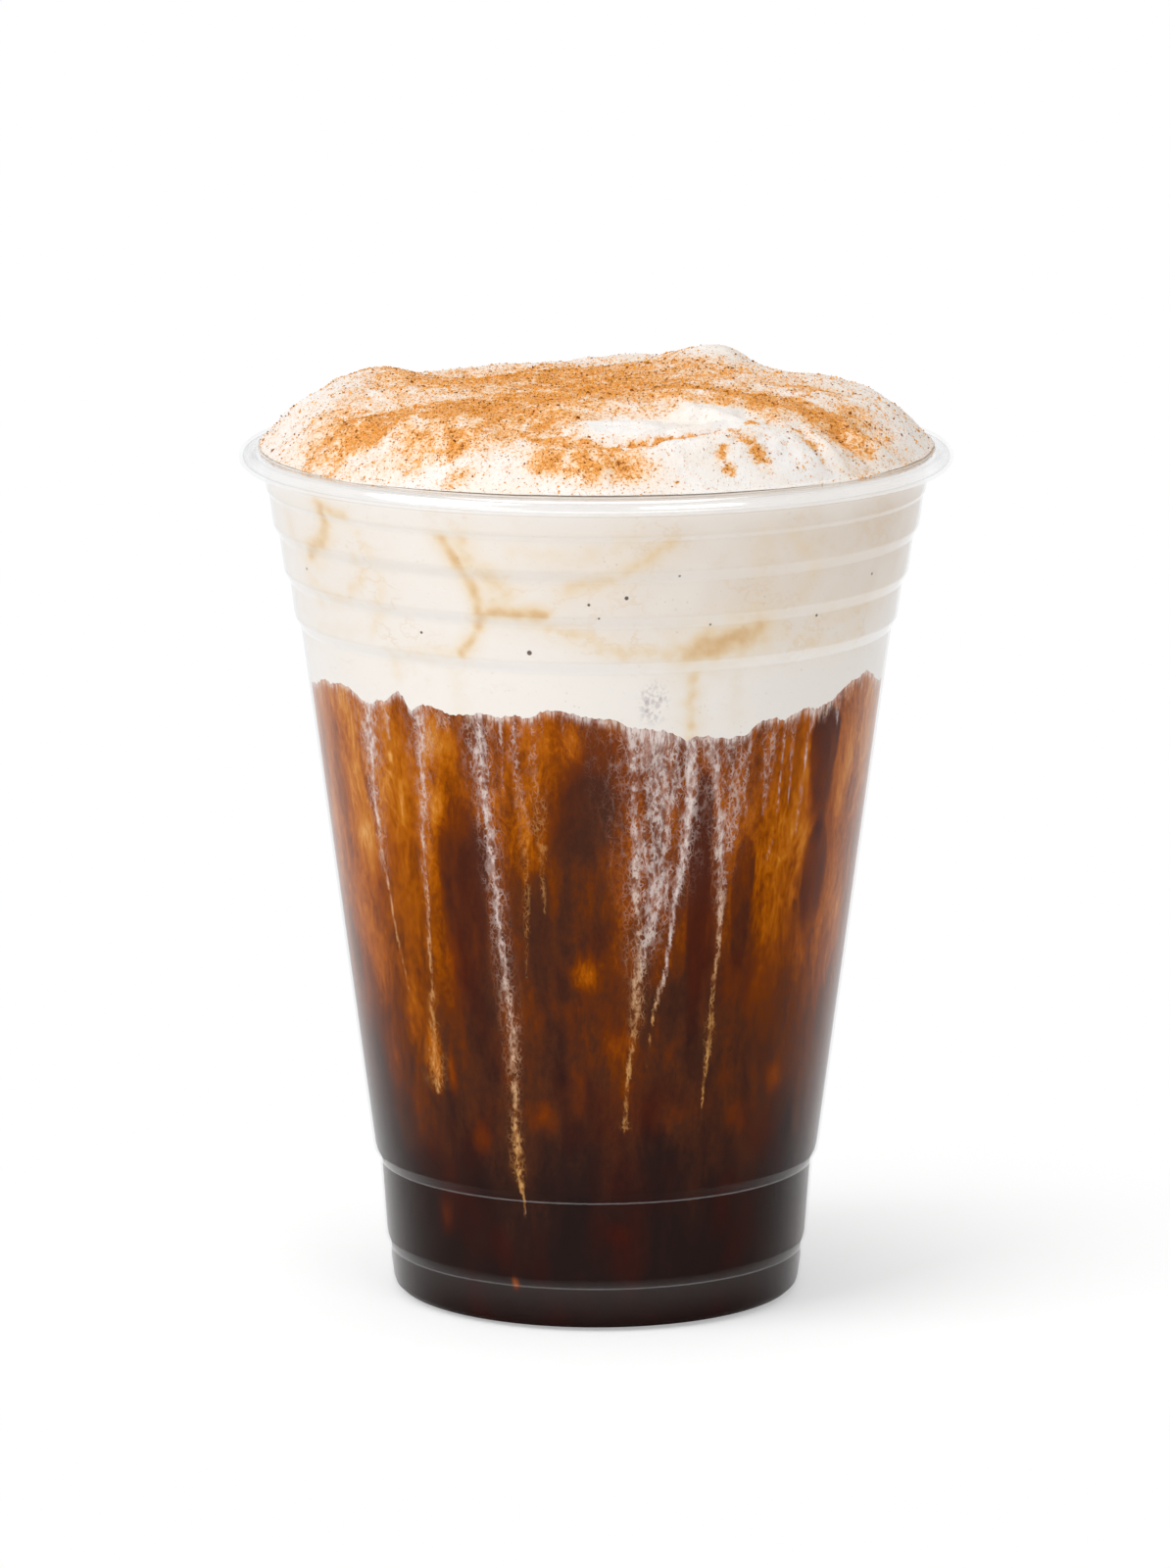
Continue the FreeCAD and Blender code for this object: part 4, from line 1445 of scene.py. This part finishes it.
@dataclass
class FoamBody:
    """The foam behind the wall: a thick band from its ragged lower edge to the lip."""

    profile: CupProfile
    look: FoamLook = FoamLook()
    depth: float = 0.26
    low: float = 84.0
    top: float = 117.3
    lip: float = 46.4
    over: float = 118.4
    thickness: float = 9.0
    inner_rise: float = 1.0
    inner_lift: float = 4.0
    near_wall: float = 1.0
    mean_radius: float = 42.5
    steps: int = 720
    rows: int = 76
    finish: Finish = Finish("milk foam behind the wall", roughness=0.5, specular=0.2)

    def build(self) -> bpy.types.Object:
        """Spins the band, then draws its rows down to the ragged edge.

        Returns:
            The band, dressed and placed.
        """
        low, high = self.profile.radius(np.array([self.low, self.top]), self.depth).tolist()
        ledge = [p for p in self.profile.surface(self.depth) if p[1] > self.top and p[0] < self.lip]
        outline = [(low, self.low), (high, self.top), *ledge, (self.lip, self.over),
                   (high - self.thickness, self.over), (low - self.thickness, self.low + self.inner_rise)]
        body = Bench.lathe("foam_body", outline, self.steps, {0: self.rows})
        places = Bench.read(body)
        angles = np.degrees(np.arctan2(places[:, 0], -places[:, 1]))
        ragged = FoamEdge(self.profile).height(angles)
        share = np.clip((places[:, 2] - self.low) / (self.top - self.low), 0.0, 1.0)
        radius = np.hypot(places[:, 0], places[:, 1])
        on_wall = radius > low - self.near_wall + share * (high - low)
        on_wall &= places[:, 2] < self.top + 0.001
        lifted = places[:, 2] + self.inner_lift * (1.0 - share)
        height = np.where(on_wall, ragged + share * (self.top - ragged), lifted)
        radius = np.where(on_wall, self.profile.radius(height, self.depth), radius)
        turn = np.radians(angles)
        moved = np.stack([radius * np.sin(turn), -radius * np.cos(turn), height], axis=1)
        Bench.write(body, moved)
        self._paint(body, angles, moved, on_wall)
        Bench.finish(body, self.material(), "milk_foam", "cold_foam")
        return body

    def _paint(self, body: bpy.types.Object, angles: np.ndarray, places: np.ndarray,
               on_wall: np.ndarray) -> None:
        """Paints the veins and the thin place on the band.

        Args:
            body: The piece to paint on.
            angles: The angle of each point.
            places: The points.
            on_wall: Which points lie at the wall.
        """
        scale = math.radians(self.mean_radius)
        warp = np.stack([cloud(places, 5.0, 3, 3.0), cloud(places, 5.0, 3, 11.0)], axis=1) * 0.45
        flat = np.stack([angles * scale, places[:, 2]], axis=1)
        vein = np.zeros(len(flat))
        texture = 0.85 + 0.35 * cloud(places * np.array([1.0, 1.0, 1.4]), 2.2, 3, 5.0)
        for one in self.look.veins:
            away = distance_to_line(flat + warp, [(a * scale, z) for a, z in one.line]) / (one.half * 1.3)
            core = np.exp(-((away / 0.9) ** 2)) * 0.45 + np.exp(-((away / 3.2) ** 2)) * 0.42
            vein = np.maximum(vein, core * one.strength)
        Bench.stain(body, "vein", np.clip(vein * texture, 0.0, 1.0) * on_wall)
        (angle, z), (half, high) = self.look.thin_place, self.look.thin_half
        thin = np.hypot((flat[:, 0] - angle * scale) / half, (flat[:, 1] - z) / high)
        Bench.stain(body, "thin", (1.0 - eased(thin, 0.0, 1.0)) * on_wall)

    def material(self) -> bpy.types.Material:
        """White foam with tan veins, warmer and darker towards one side, partly its own beige and partly
        painted shade, and mottled where it thins out.

        Returns:
            The material.
        """
        material, sheet, constants = self.finish.start()
        place = sheet.place()
        clouds = place.clouds(self.look.clouds)
        # Darker beige to the right and up: partly the foam's tint, partly painted shade.
        warm = place.angle.along(self.look.beige_and_shade) * place.height.eased(90.0, 106.0) * (clouds * 1.3 + 0.2)
        colour = sheet.mix(warm.at_most(1.0), *map(paint, self.look.white))
        faint = place.clouds(self.look.lines)
        line = (1.0 - abs(faint - 0.5).eased(0.0, 0.035)) * clouds.eased(0.45, 0.7) * 0.35
        colour = sheet.mix(line * place.height.eased(88.0, 96.0), colour, paint(self.look.faint))
        vein = sheet.attribute("vein")
        colour = sheet.mix(vein.eased(0.02, 0.6) * 0.75, colour, paint(self.look.tan[0]))
        colour = sheet.mix(vein.eased(0.3, 1.0) * 0.7, colour, paint(self.look.tan[1]))
        thin = sheet.attribute("thin")
        holes = sheet.cells(place.squeezed(0.7), self.look.bubble, Cell.CENTRE).eased(0.5, 0.15)
        mottle = place.clouds(self.look.mottle).eased(0.45, 0.62)
        mottle = thin.eased(0.0, 0.7) * (holes * 0.7 + mottle * 0.6).at_most(1.0) * 0.62
        colour = sheet.mix(mottle, colour, paint(self.look.mottled))
        for speck in self.look.specks:
            turn, size = math.radians(speck.angle), speck.size * MM
            reach = float(self.profile.radius(np.array([speck.z]), self.depth)[0])
            centre = (reach * math.sin(turn) * MM, -reach * math.cos(turn) * MM, speck.z * MM)
            gap = sheet.node("ShaderNodeVectorMath", {"operation": "DISTANCE"}, {0: place.vector, 1: centre})
            away = Signal(sheet, gap.outputs["Value"]).eased(size * 0.7, size * 1.25)
            colour = sheet.mix((1.0 - away) * 0.9, colour, paint(self.look.speck))
        pores = sheet.cells(place.vector, self.look.bubble, Cell.CENTRE).eased(0.22, 0.05)
        sparse = place.clouds(self.look.porous).eased(0.55, 0.72)
        colour = sheet.mix(pores * sparse * 0.4, colour, paint(self.look.pore))
        constants["Base Color"] = colour
        constants["Normal"] = sheet.bump(clouds + pores * -0.3, self.look.bump_depth)
        self.finish.close(sheet, constants)
        return material


class Fold(NamedTuple):
    """A ridge or crease in the crown: its line in plan, its height, and how wide it is before and behind."""

    line: tuple[tuple[float, float], ...]
    rise: float
    front: float
    back: float


class Dusting(NamedTuple):
    """A patch of the cinnamon dusting in plan: its middle, half sizes and amount, which may be negative."""

    x: float
    y: float
    along: float
    across: float
    amount: float


class Streak(NamedTuple):
    """A line of cinnamon in plan, its half width and amount."""

    line: tuple[tuple[float, float], ...]
    half: float
    amount: float


@dataclass
class FoamCrown:
    """The foam above the rim, with its folds, hollows and bubbles."""

    lip: float = 46.6
    lip_level: float = 118.27
    roll: float = 1.1
    cells: int = 250
    netted: float = 45.25
    drop: float = 200.0
    turned_under: float = 0.03
    drawn_in: float = 0.96
    skirt: float = 3.0
    folds: tuple[Fold, ...] = (
        Fold(((-3, -34.5), (3, -32.5), (9, -31), (15, -28.5), (20, -29.5)), 0.9, 2.6, 2.0),
        Fold(((13, -28), (17.5, -27.5)), 1.1, 2.2, 2.4),
        Fold(((-2, -39.5), (5, -39), (9.5, -37), (13.5, -35.6), (18.5, -31.8)), -0.8, 0.9, 1.4),
        Fold(((6, -41), (13.2, -39), (20, -34.2), (24, -31.8), (28, -32.6), (31, -34)), 0.7, 2.6, 0.9),
        Fold(((29, -28), (33.6, -31.5)), 0.9, 1.4, 1.4),
        Fold(((32.5, -24), (37.5, -27.5)), -0.9, 1.3, 1.3),
        Fold(((34.5, -20), (40, -22.5)), 0.8, 1.6, 1.6),
        Fold(((-24, -27), (-29, -33)), 0.6, 2.0, 2.0),
        Fold(((-31, -21), (-36, -26)), 0.7, 2.2, 2.2),
        Fold(((-12, -34), (-15, -41)), -0.6, 1.8, 1.8),
        Fold(((-2, -40), (-1, -44)), 0.5, 2.0, 2.0),
        Fold(((-20, 26), (-6, 31), (8, 30)), -0.3, 2.0, 3.0),
        Fold(((18, 32), (28, 27), (35, 17)), -0.3, 2.2, 2.2),
        Fold(((-36, 16), (-30, 27)), 0.4, 2.2, 2.2),
    )
    dustings: tuple[Dusting, ...] = (
        Dusting(-4, -4, 36, 27, 0.4),
        Dusting(-31, -23.6, 6.5, 5.2, 0.75),
        Dusting(-19, -25.5, 8, 5.5, 0.7),
        Dusting(-6, -22, 10, 6, 0.65),
        Dusting(6, -15, 10, 6, 0.55),
        Dusting(22, -20, 8, 5, 0.8),
        Dusting(32, -21, 5.5, 4, 0.55),
        Dusting(-9, -32, 9, 4, 0.4),
        Dusting(-10, -3, 24, 8, 0.3),
        Dusting(29, -7, 4, 2.5, 0.4),
        Dusting(-6.3, -41.8, 2.6, 1.6, 0.7),
        Dusting(-1.2, -43.4, 2.8, 1.5, 0.8),
        Dusting(4, -43.2, 3, 1.2, 0.7),
        Dusting(-0.5, -41.6, 6, 1.4, 0.3),
        Dusting(-24.5, -35, 1.8, 2.4, 0.45),
        Dusting(-19.5, -36.4, 1.6, 1.6, 0.5),
        Dusting(-18.7, -40.4, 2.2, 1.3, 0.5),
        Dusting(34, -27, 4, 3, 0.3),
        Dusting(36, -16, 4, 5, 0.3),
        Dusting(-34, -18, 6, 8, 0.2),
        Dusting(15, 16, 9, 7, -0.35),
        Dusting(-37, 4, 7, 13, -0.3),
        Dusting(-14, -36, 10, 3, 0.24),
        Dusting(-28, -33, 5, 4, 0.1),
        Dusting(-20, -38, 3.4, 2.2, -0.2),
        Dusting(2.5, -34.4, 4, 1.8, -1.0),
        Dusting(9, -32.6, 4.5, 2.2, -1.3),
        Dusting(15.8, -29.4, 4.4, 2.5, -1.5),
        Dusting(24, -40, 12, 3, -0.1),
        Dusting(-14, 17, 27, 14, 0.6),
    )
    streaks: tuple[Streak, ...] = (
        Streak(((-8, -37.5), (-4, -38.6), (1, -39.6), (5.3, -39.2)), 1.2, 0.5),
        Streak(((5.3, -39.2), (9.3, -36.9), (13.2, -35.6), (18.2, -31.4), (21, -29.6)), 0.9, 0.75),
        Streak(((15.6, -37.4), (17.6, -40.4)), 1.1, 0.6),
        Streak(((18.6, -34.8), (21.6, -37.4)), 1.1, 0.5),
        Streak(((27, -28.5), (30, -31.5)), 0.8, 0.25),
        Streak(((-20, -33), (-18.6, -36.5)), 1.0, 0.3),
    )
    sunk: float = 0.35
    clouds: Grain = Grain(0.008, detail=4.0)
    fine: Grain = Grain(0.0012, detail=5.0, rough=0.7)
    grain: Grain = Grain(0.00042, rough=0.8)
    bubble: float = 0.0007
    bump_depth: float = 0.00012
    white: tuple[str, str] = ("f6f2ee", "f3e4d2")
    halo: str = "f6c27c"
    dusted: str = "eb9a36"
    caked: str = "8f4a0e"
    finish: Finish = Finish("milk foam", roughness=0.55, specular=0.25, subsurface=0.12,
                            scatter=(1.0, 0.85, 0.7), scatter_depth=0.0008)

    def build(self) -> bpy.types.Object:
        """Lays a fine round cloth on the frame's foam, folds it and closes it below.

        Returns:
            The crown, dressed and placed.
        """
        Bench.clear()
        bpy.ops.mesh.primitive_grid_add(x_subdivisions=self.cells, y_subdivisions=self.cells, size=2.0 * MM)
        crown = bpy.context.object
        crown.name = crown.data.name = "foam_crown"
        square = Bench.read(crown)
        u, v = square[:, 0], square[:, 1]
        across, along = u * np.sqrt(1 - v * v / 2), v * np.sqrt(1 - u * u / 2)
        Bench.write(crown, np.stack([across, along, u * 0 + self.drop / self.netted], axis=1) * self.netted)
        foam = FRAME["nodes"]["cold_foam"]
        Bench.modifier(crown, "SHRINKWRAP", target=foam, wrap_method="PROJECT", use_project_z=True,
                       use_negative_direction=True, use_positive_direction=False)
        Bench.modifier(crown, "SMOOTH", factor=0.5, iterations=12)
        places = Bench.read(crown)
        places[:, :2] *= self.lip / self.netted
        Bench.write(crown, places)
        self._fold(crown)
        self._settle(crown)
        self._paint(crown)
        with Bench.editing(crown):
            bpy.ops.mesh.select_all(action="DESELECT")
            bpy.ops.mesh.select_non_manifold()
            under, down = (0.0, 0.0, -self.turned_under * MM), (0.0, 0.0, -self.skirt * MM)
            bpy.ops.mesh.extrude_region_move(TRANSFORM_OT_translate={"value": under})
            inwards = (self.drawn_in, self.drawn_in, 1.0)
            bpy.ops.transform.resize(value=inwards, center_override=(0.0, 0.0, 0.0))
            bpy.ops.mesh.extrude_region_move(TRANSFORM_OT_translate={"value": down})
            bpy.ops.mesh.edge_face_add()
            bpy.ops.mesh.select_all(action="SELECT")
            bpy.ops.mesh.normals_make_consistent(inside=False)
        Bench.pick(crown)
        bpy.ops.object.shade_smooth()
        Bench.finish(crown, self.material(), "milk_foam")
        return crown

    def _fold(self, crown: bpy.types.Object) -> None:
        """Moves the crown's surface out and in along its normals.

        Args:
            crown: The crown to fold.
        """
        places = Bench.read(crown)
        out = Bench.normals(crown)
        warp = np.stack([cloud(places, 5.0, 2, 2.0), cloud(places, 5.0, 2, 8.0)], axis=1) * 1.2
        plan = places[:, :2] + warp
        lift = cloud(places, 9.0, 3) * 0.45 + cloud(places, 2.8, 3, 4.0) * 0.16
        lift += cloud(places, 0.9, 2, 9.0) * 0.05
        for fold in self.folds:
            away = distance_to_line(plan, fold.line)
            if len(fold.line) > 2:
                ahead = places[:, 1] < np.interp(places[:, 0], *zip(*sorted(fold.line)))
            else:
                run = np.array(fold.line[1]) - fold.line[0]
                beyond = plan - np.array(fold.line).mean(axis=0)
                ahead = run[0] * beyond[:, 1] - run[1] * beyond[:, 0] > 0
            width = np.where(ahead, fold.front, fold.back)
            lift += fold.rise * np.exp(-((away / width) ** 2))
        pores = cloud(places, 1.6, 1, 21.0)
        lift -= eased(pores, 0.42, 0.62) * 0.22
        calm = 1.0 - eased(np.hypot(places[:, 0], places[:, 1]), self.lip - 3.0, self.lip)
        Bench.write(crown, places + out * ((lift - self.sunk) * calm)[:, None])

    def _settle(self, crown: bpy.types.Object) -> None:
        """Lets the crown's edge lie on the cup's ledge in an uneven roll.

        Args:
            crown: The crown to settle.
        """
        places = Bench.read(crown)
        ring = places * np.array([1.0, 1.0, 0.0])
        outwards = eased(np.hypot(places[:, 0], places[:, 1]), 40.0, 46.0)
        uneven = 1.0 + cloud(ring, 9.0, 3, 51.0) * 0.006 * outwards
        places[:, :2] *= uneven[:, None]
        out = np.hypot(places[:, 0], places[:, 1]) / (self.lip * uneven)
        swell = np.sqrt(np.clip(1.0 - (np.maximum(out - 0.89, 0.0) / 0.11) ** 2, 0.0, 1.0))
        places[:, 2] = np.maximum(places[:, 2], self.lip_level + self.roll * swell)
        Bench.write(crown, places)

    def _paint(self, crown: bpy.types.Object) -> None:
        """Paints how much cinnamon lies at each place.

        Args:
            crown: The crown to paint on.
        """
        places = Bench.read(crown)
        warp = np.stack([cloud(places, 6.0, 3, 31.0), cloud(places, 6.0, 3, 37.0)], axis=1) * 2.4
        plan = places[:, :2] + warp * eased(places[:, 1], -44.0, -30.0)[:, None]
        amount = np.zeros(len(places))
        for one in self.dustings:
            reach = ((plan[:, 0] - one.x) / one.along) ** 2 + ((plan[:, 1] - one.y) / one.across) ** 2
            amount += one.amount * np.exp(-reach)
        near = places[:, :2] + warp * 0.3
        patchy = np.clip(1.0 + cloud(places, 1.7, 3, 61.0) * 2.4, 0.0, 2.0)
        for streak in self.streaks:
            away = distance_to_line(near, streak.line) / streak.half
            amount += streak.amount * patchy * np.exp(-(away ** 2))
        clumps = cloud(places, 2.6, 4, 41.0) * 0.45 + cloud(places, 0.9, 3, 47.0) * 0.35
        dust = np.clip(amount * (1.0 + 1.5 * clumps) + 0.015, 0.0, 1.0)
        Bench.stain(crown, "dust", dust)

    def material(self) -> bpy.types.Material:
        """Warm white foam, stained where the cinnamon lies.

        Returns:
            The material.
        """
        material, sheet, constants = self.finish.start()
        place = sheet.place()
        clouds = place.clouds(self.clouds)
        colour = sheet.mix(clouds.eased(0.3, 0.75) * 0.6, *map(paint, self.white))
        dust = sheet.attribute("dust")
        fine = place.clouds(self.fine)
        grain = place.clouds(self.grain)
        halo = (dust + (fine - 0.5) * 0.4).eased(0.0, 0.6)
        colour = sheet.mix(halo * 0.7, colour, paint(self.halo))
        heavy = (dust + (fine - 0.5) * 0.8 + (grain - 0.5) * 3.0).eased(0.3, 0.75)
        colour = sheet.mix(heavy * 0.85, colour, paint(self.dusted))
        dark = (dust * 0.5 + (grain - 0.5) * 4.0).eased(0.66, 0.9)
        colour = sheet.mix(dark * 0.75, colour, paint(self.caked))
        pores = sheet.cells(place.vector, self.bubble, Cell.CENTRE).eased(0.24, 0.04)
        constants["Base Color"] = colour
        constants["Normal"] = sheet.bump(grain * 0.5 + fine + pores * -0.6, self.bump_depth)
        self.finish.close(sheet, constants)
        return material


# --- the cinnamon --------------------------------------------------------------------------------------


class Grind(Enum):
    """The two sizes that cinnamon powder falls into."""

    POWDER = "powder"
    FLAKES = "flakes"


@dataclass
class Cinnamon:
    """Cinnamon grains lying on the crown."""

    grind: Grind
    per_square_metre: float
    smallest: float
    largest: float
    seed: int
    small_bias: float = 2.2
    shades: tuple[str, str] = ("662f06", "f2ae4a")
    middle: str = "cb7618"
    bark: Grain = Grain(0.0002)
    finish: Finish = Finish("cinnamon", roughness=0.85, specular=0.2)

    def build(self, crown: bpy.types.Object) -> bpy.types.Object:
        """Scatters grains over a copy of the crown, as thickly as its dusting says.

        Args:
            crown: The crown with its painted dusting.

        Returns:
            One piece that holds all the grains of this grind.
        """
        material = self.material()
        grain = self._grain(material)
        Bench.pick(crown)
        bpy.ops.object.duplicate()
        scattered = bpy.context.object
        scattered.name = scattered.data.name = "cinnamon_" + self.grind.value
        scattered.modifiers.clear()
        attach(scattered, "root")
        tree = bpy.data.node_groups.new("scatter_" + self.grind.value, "GeometryNodeTree")
        self._draw(tree, grain)
        added = scattered.modifiers.new("Scatter", "NODES")
        added.node_group = tree
        Bench.pick(scattered)
        bpy.ops.object.modifier_apply(modifier=added.name)
        bpy.data.objects.remove(grain)
        Bench.finish(scattered, material, "milk_foam")
        return scattered

    def _grain(self, material: bpy.types.Material) -> bpy.types.Object:
        """One angular grain of about a millimetre, which is scaled down as it is scattered.

        Args:
            material: What the grain is made of.

        Returns:
            The grain.
        """
        Bench.clear()
        if self.grind is Grind.POWDER:
            bpy.ops.mesh.primitive_cone_add(vertices=4, radius1=0.5 * MM, radius2=0.0, depth=0.8 * MM)
        else:
            bpy.ops.mesh.primitive_cylinder_add(vertices=5, radius=0.5 * MM, depth=0.22 * MM)
        grain = bpy.context.object
        with Bench.editing(grain):
            bpy.ops.transform.vertex_random(offset=0.14 * MM, seed=self.seed)
        grain.data.materials.append(material)
        return grain

    def _draw(self, tree: bpy.types.NodeTree, grain: bpy.types.Object) -> None:
        """Draws the tree that scatters the grain.

        Args:
            tree: The empty tree.
            grain: The grain to scatter.
        """
        sheet = Sheet(tree)
        tree.interface.new_socket("Geometry", in_out="INPUT", socket_type="NodeSocketGeometry")
        tree.interface.new_socket("Geometry", in_out="OUTPUT", socket_type="NodeSocketGeometry")
        cloth = sheet.node("NodeGroupInput").outputs[0]
        dusting = sheet.node("GeometryNodeInputNamedAttribute", {"data_type": "FLOAT"}, {"Name": "dust"})
        density = Signal(sheet, dusting.outputs[0]).at_least(0.0) * self.per_square_metre
        points = sheet.node("GeometryNodeDistributePointsOnFaces", {}, {
            "Mesh": cloth, "Density": density, "Seed": self.seed})
        turn = sheet.node("FunctionNodeRandomValue", {"data_type": "FLOAT_VECTOR"}, {
            "Min": (0, 0, 0), "Max": (math.tau, math.tau, math.tau), "Seed": self.seed})
        roll = sheet.node("FunctionNodeRandomValue", {"data_type": "FLOAT"}, {"Seed": self.seed + 1})
        spread = self.largest - self.smallest
        size = Signal(sheet, roll.outputs[1]) ** self.small_bias * spread + self.smallest
        single = sheet.node("GeometryNodeObjectInfo", {}, {"Object": grain, "As Instance": True})
        placed = sheet.node("GeometryNodeInstanceOnPoints", {}, {
            "Points": points.outputs["Points"], "Instance": single.outputs["Geometry"],
            "Rotation": turn.outputs[0], "Scale": size})
        shade = sheet.node("FunctionNodeRandomValue", {"data_type": "FLOAT"}, {"Seed": self.seed + 2})
        stored = sheet.node("GeometryNodeStoreNamedAttribute", {"data_type": "FLOAT", "domain": "INSTANCE"}, {
            "Geometry": placed.outputs["Instances"], "Name": "shade", "Value": shade.outputs[1]})
        real = sheet.node("GeometryNodeRealizeInstances", {}, {"Geometry": stored.outputs["Geometry"]})
        sheet.node("NodeGroupOutput", {}, {0: real.outputs["Geometry"]})

    def material(self) -> bpy.types.Material:
        """Dry brown to orange grains, each of its own shade.

        Returns:
            The material.
        """
        material, sheet, constants = self.finish.start()
        place = sheet.place()
        shade = sheet.attribute("shade")
        colour = sheet.mix(shade.eased(0.0, 0.42), *map(paint, self.shades))
        colour = sheet.mix(place.clouds(self.bark) * 0.3, colour, paint(self.middle))
        constants["Base Color"] = colour
        self.finish.close(sheet, constants)
        return material


# --- the studio ----------------------------------------------------------------------------------------


@dataclass(frozen=True)
class Lamp:
    """A soft square lamp that points at the drink."""

    name: str
    place: tuple[float, float, float]
    size: float
    power: float


@dataclass
class Studio:
    """The pale floor, the white surroundings, the lamps and the camera."""

    lens: float = 203.0
    sensor: float = 36.0
    eye: tuple[float, float, float] = (-0.00155, -1.2, 0.3031)
    target: tuple[float, float, float] = (-0.00155, 0.0, 0.0709)
    floor_size: float = 6.0
    floor_colour: Colour = (0.82, 0.82, 0.82, 1.0)
    floor_glow: float = 0.355
    shadow_to: tuple[float, float] = (0.03, 0.11)
    clear_layers: int = 32
    lamps: tuple[Lamp, ...] = (
        Lamp("key", (-0.80, -0.50, 0.75), 0.8, 7.0),
        Lamp("fill", (0.6, -1.0, 0.4), 0.6, 3.2),
        Lamp("top", (0.0, 0.1, 1.1), 0.7, 2.0),
    )
    lit: tuple[float, float, float] = (0.0, 0.0, 0.07)
    ambient: float = 0.48

    def build(self) -> None:
        """Sets everything up."""
        self._floor()
        self._world()
        for lamp in self.lamps:
            self._lamp(lamp)
        self._camera()
        bpy.context.scene.view_settings.view_transform = "Standard"
        bpy.context.scene.cycles.transparent_max_bounces = self.clear_layers

    @staticmethod
    def _aim(thing: bpy.types.Object, at: Sequence[float]) -> None:
        """Turns a lamp or the camera towards a point."""
        thing.rotation_euler = (Vector(at) - thing.location).to_track_quat("-Z", "Y").to_euler()

    def _floor(self) -> None:
        """A white floor that keeps the drink's shadow."""
        Bench.clear()
        bpy.ops.mesh.primitive_plane_add(size=self.floor_size)
        floor = bpy.context.object
        floor.name = floor.data.name = "floor"
        material = bpy.data.materials.new("white floor")
        material.use_nodes = True
        sheet = Sheet(material.node_tree)
        seen = self._seen(sheet)
        matt = sheet.node("ShaderNodeBsdfDiffuse", {}, {"Color": self.floor_colour})
        glow = sheet.node("ShaderNodeEmission", {}, {"Color": WHITE, "Strength": seen * self.floor_glow})
        both = sheet.node("ShaderNodeAddShader", {}, {0: matt.outputs[0], 1: glow.outputs[0]})
        white = sheet.node("ShaderNodeEmission", {}, {"Color": WHITE, "Strength": 1.0})
        place = sheet.place()
        away = ((place.x * place.x + place.y * place.y) ** 0.5).eased(*self.shadow_to) * seen
        whole = sheet.node("ShaderNodeMixShader", {}, {0: away, 1: both.outputs[0], 2: white.outputs[0]})
        sheet.node("ShaderNodeOutputMaterial", {}, {"Surface": whole.outputs[0]})
        floor.data.materials.append(material)

    @staticmethod
    def _seen(sheet: Sheet) -> Signal:
        """One where a ray sees the surroundings directly, in a reflection or through clear plastic.

        Args:
            sheet: The tree to draw in.

        Returns:
            The number.
        """
        path = sheet.node("ShaderNodeLightPath")
        camera, glossy, through = (
            Signal(sheet, path.outputs[f"Is {ray} Ray"]) for ray in ("Camera", "Glossy", "Transmission"))
        return camera.at_least(glossy).at_least(through)

    def _world(self) -> None:
        """White surroundings: plain white where they are seen, and softer where they only light."""
        world = bpy.data.worlds.new("studio")
        world.use_nodes = True
        bpy.context.scene.world = world
        sheet = Sheet(world.node_tree)
        seen = self._seen(sheet)
        strength = seen.at_least(self.ambient)
        back = sheet.node("ShaderNodeBackground", {}, {"Color": WHITE, "Strength": strength})
        sheet.node("ShaderNodeOutputWorld", {}, {"Surface": back.outputs[0]})

    def _lamp(self, lamp: Lamp) -> None:
        """Adds one lamp.

        Args:
            lamp: The lamp.
        """
        Bench.clear()
        bpy.ops.object.light_add(type="AREA", location=lamp.place)
        light = bpy.context.object
        light.name = light.data.name = lamp.name
        light.data.shape = "SQUARE"
        light.data.size = lamp.size
        light.data.energy = lamp.power
        self._aim(light, self.lit)

    def _camera(self) -> None:
        """Adds the camera."""
        Bench.clear()
        bpy.ops.object.camera_add(location=self.eye)
        camera = bpy.context.object
        camera.name = camera.data.name = "camera"
        camera.data.lens = self.lens
        camera.data.sensor_width = self.sensor
        self._aim(camera, self.target)
        bpy.context.scene.camera = camera


def main() -> None:
    """Builds the drink and its studio in order."""
    logging.basicConfig(level=logging.INFO, format="%(asctime)s %(name)s: %(message)s")
    FRAME.update(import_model())
    profile = CupProfile()
    Cup(profile).build()
    Coffee(profile).build()
    FoamBody(profile).build()
    crown = FoamCrown().build()
    Cinnamon(Grind.POWDER, per_square_metre=9.2e6, smallest=0.12, largest=0.38, seed=3).build(crown)
    Cinnamon(Grind.FLAKES, per_square_metre=5.0e5, smallest=0.26, largest=0.64, seed=11).build(crown)
    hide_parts("cold_foam")
    Studio().build()


if __name__ == "__main__":
    main()
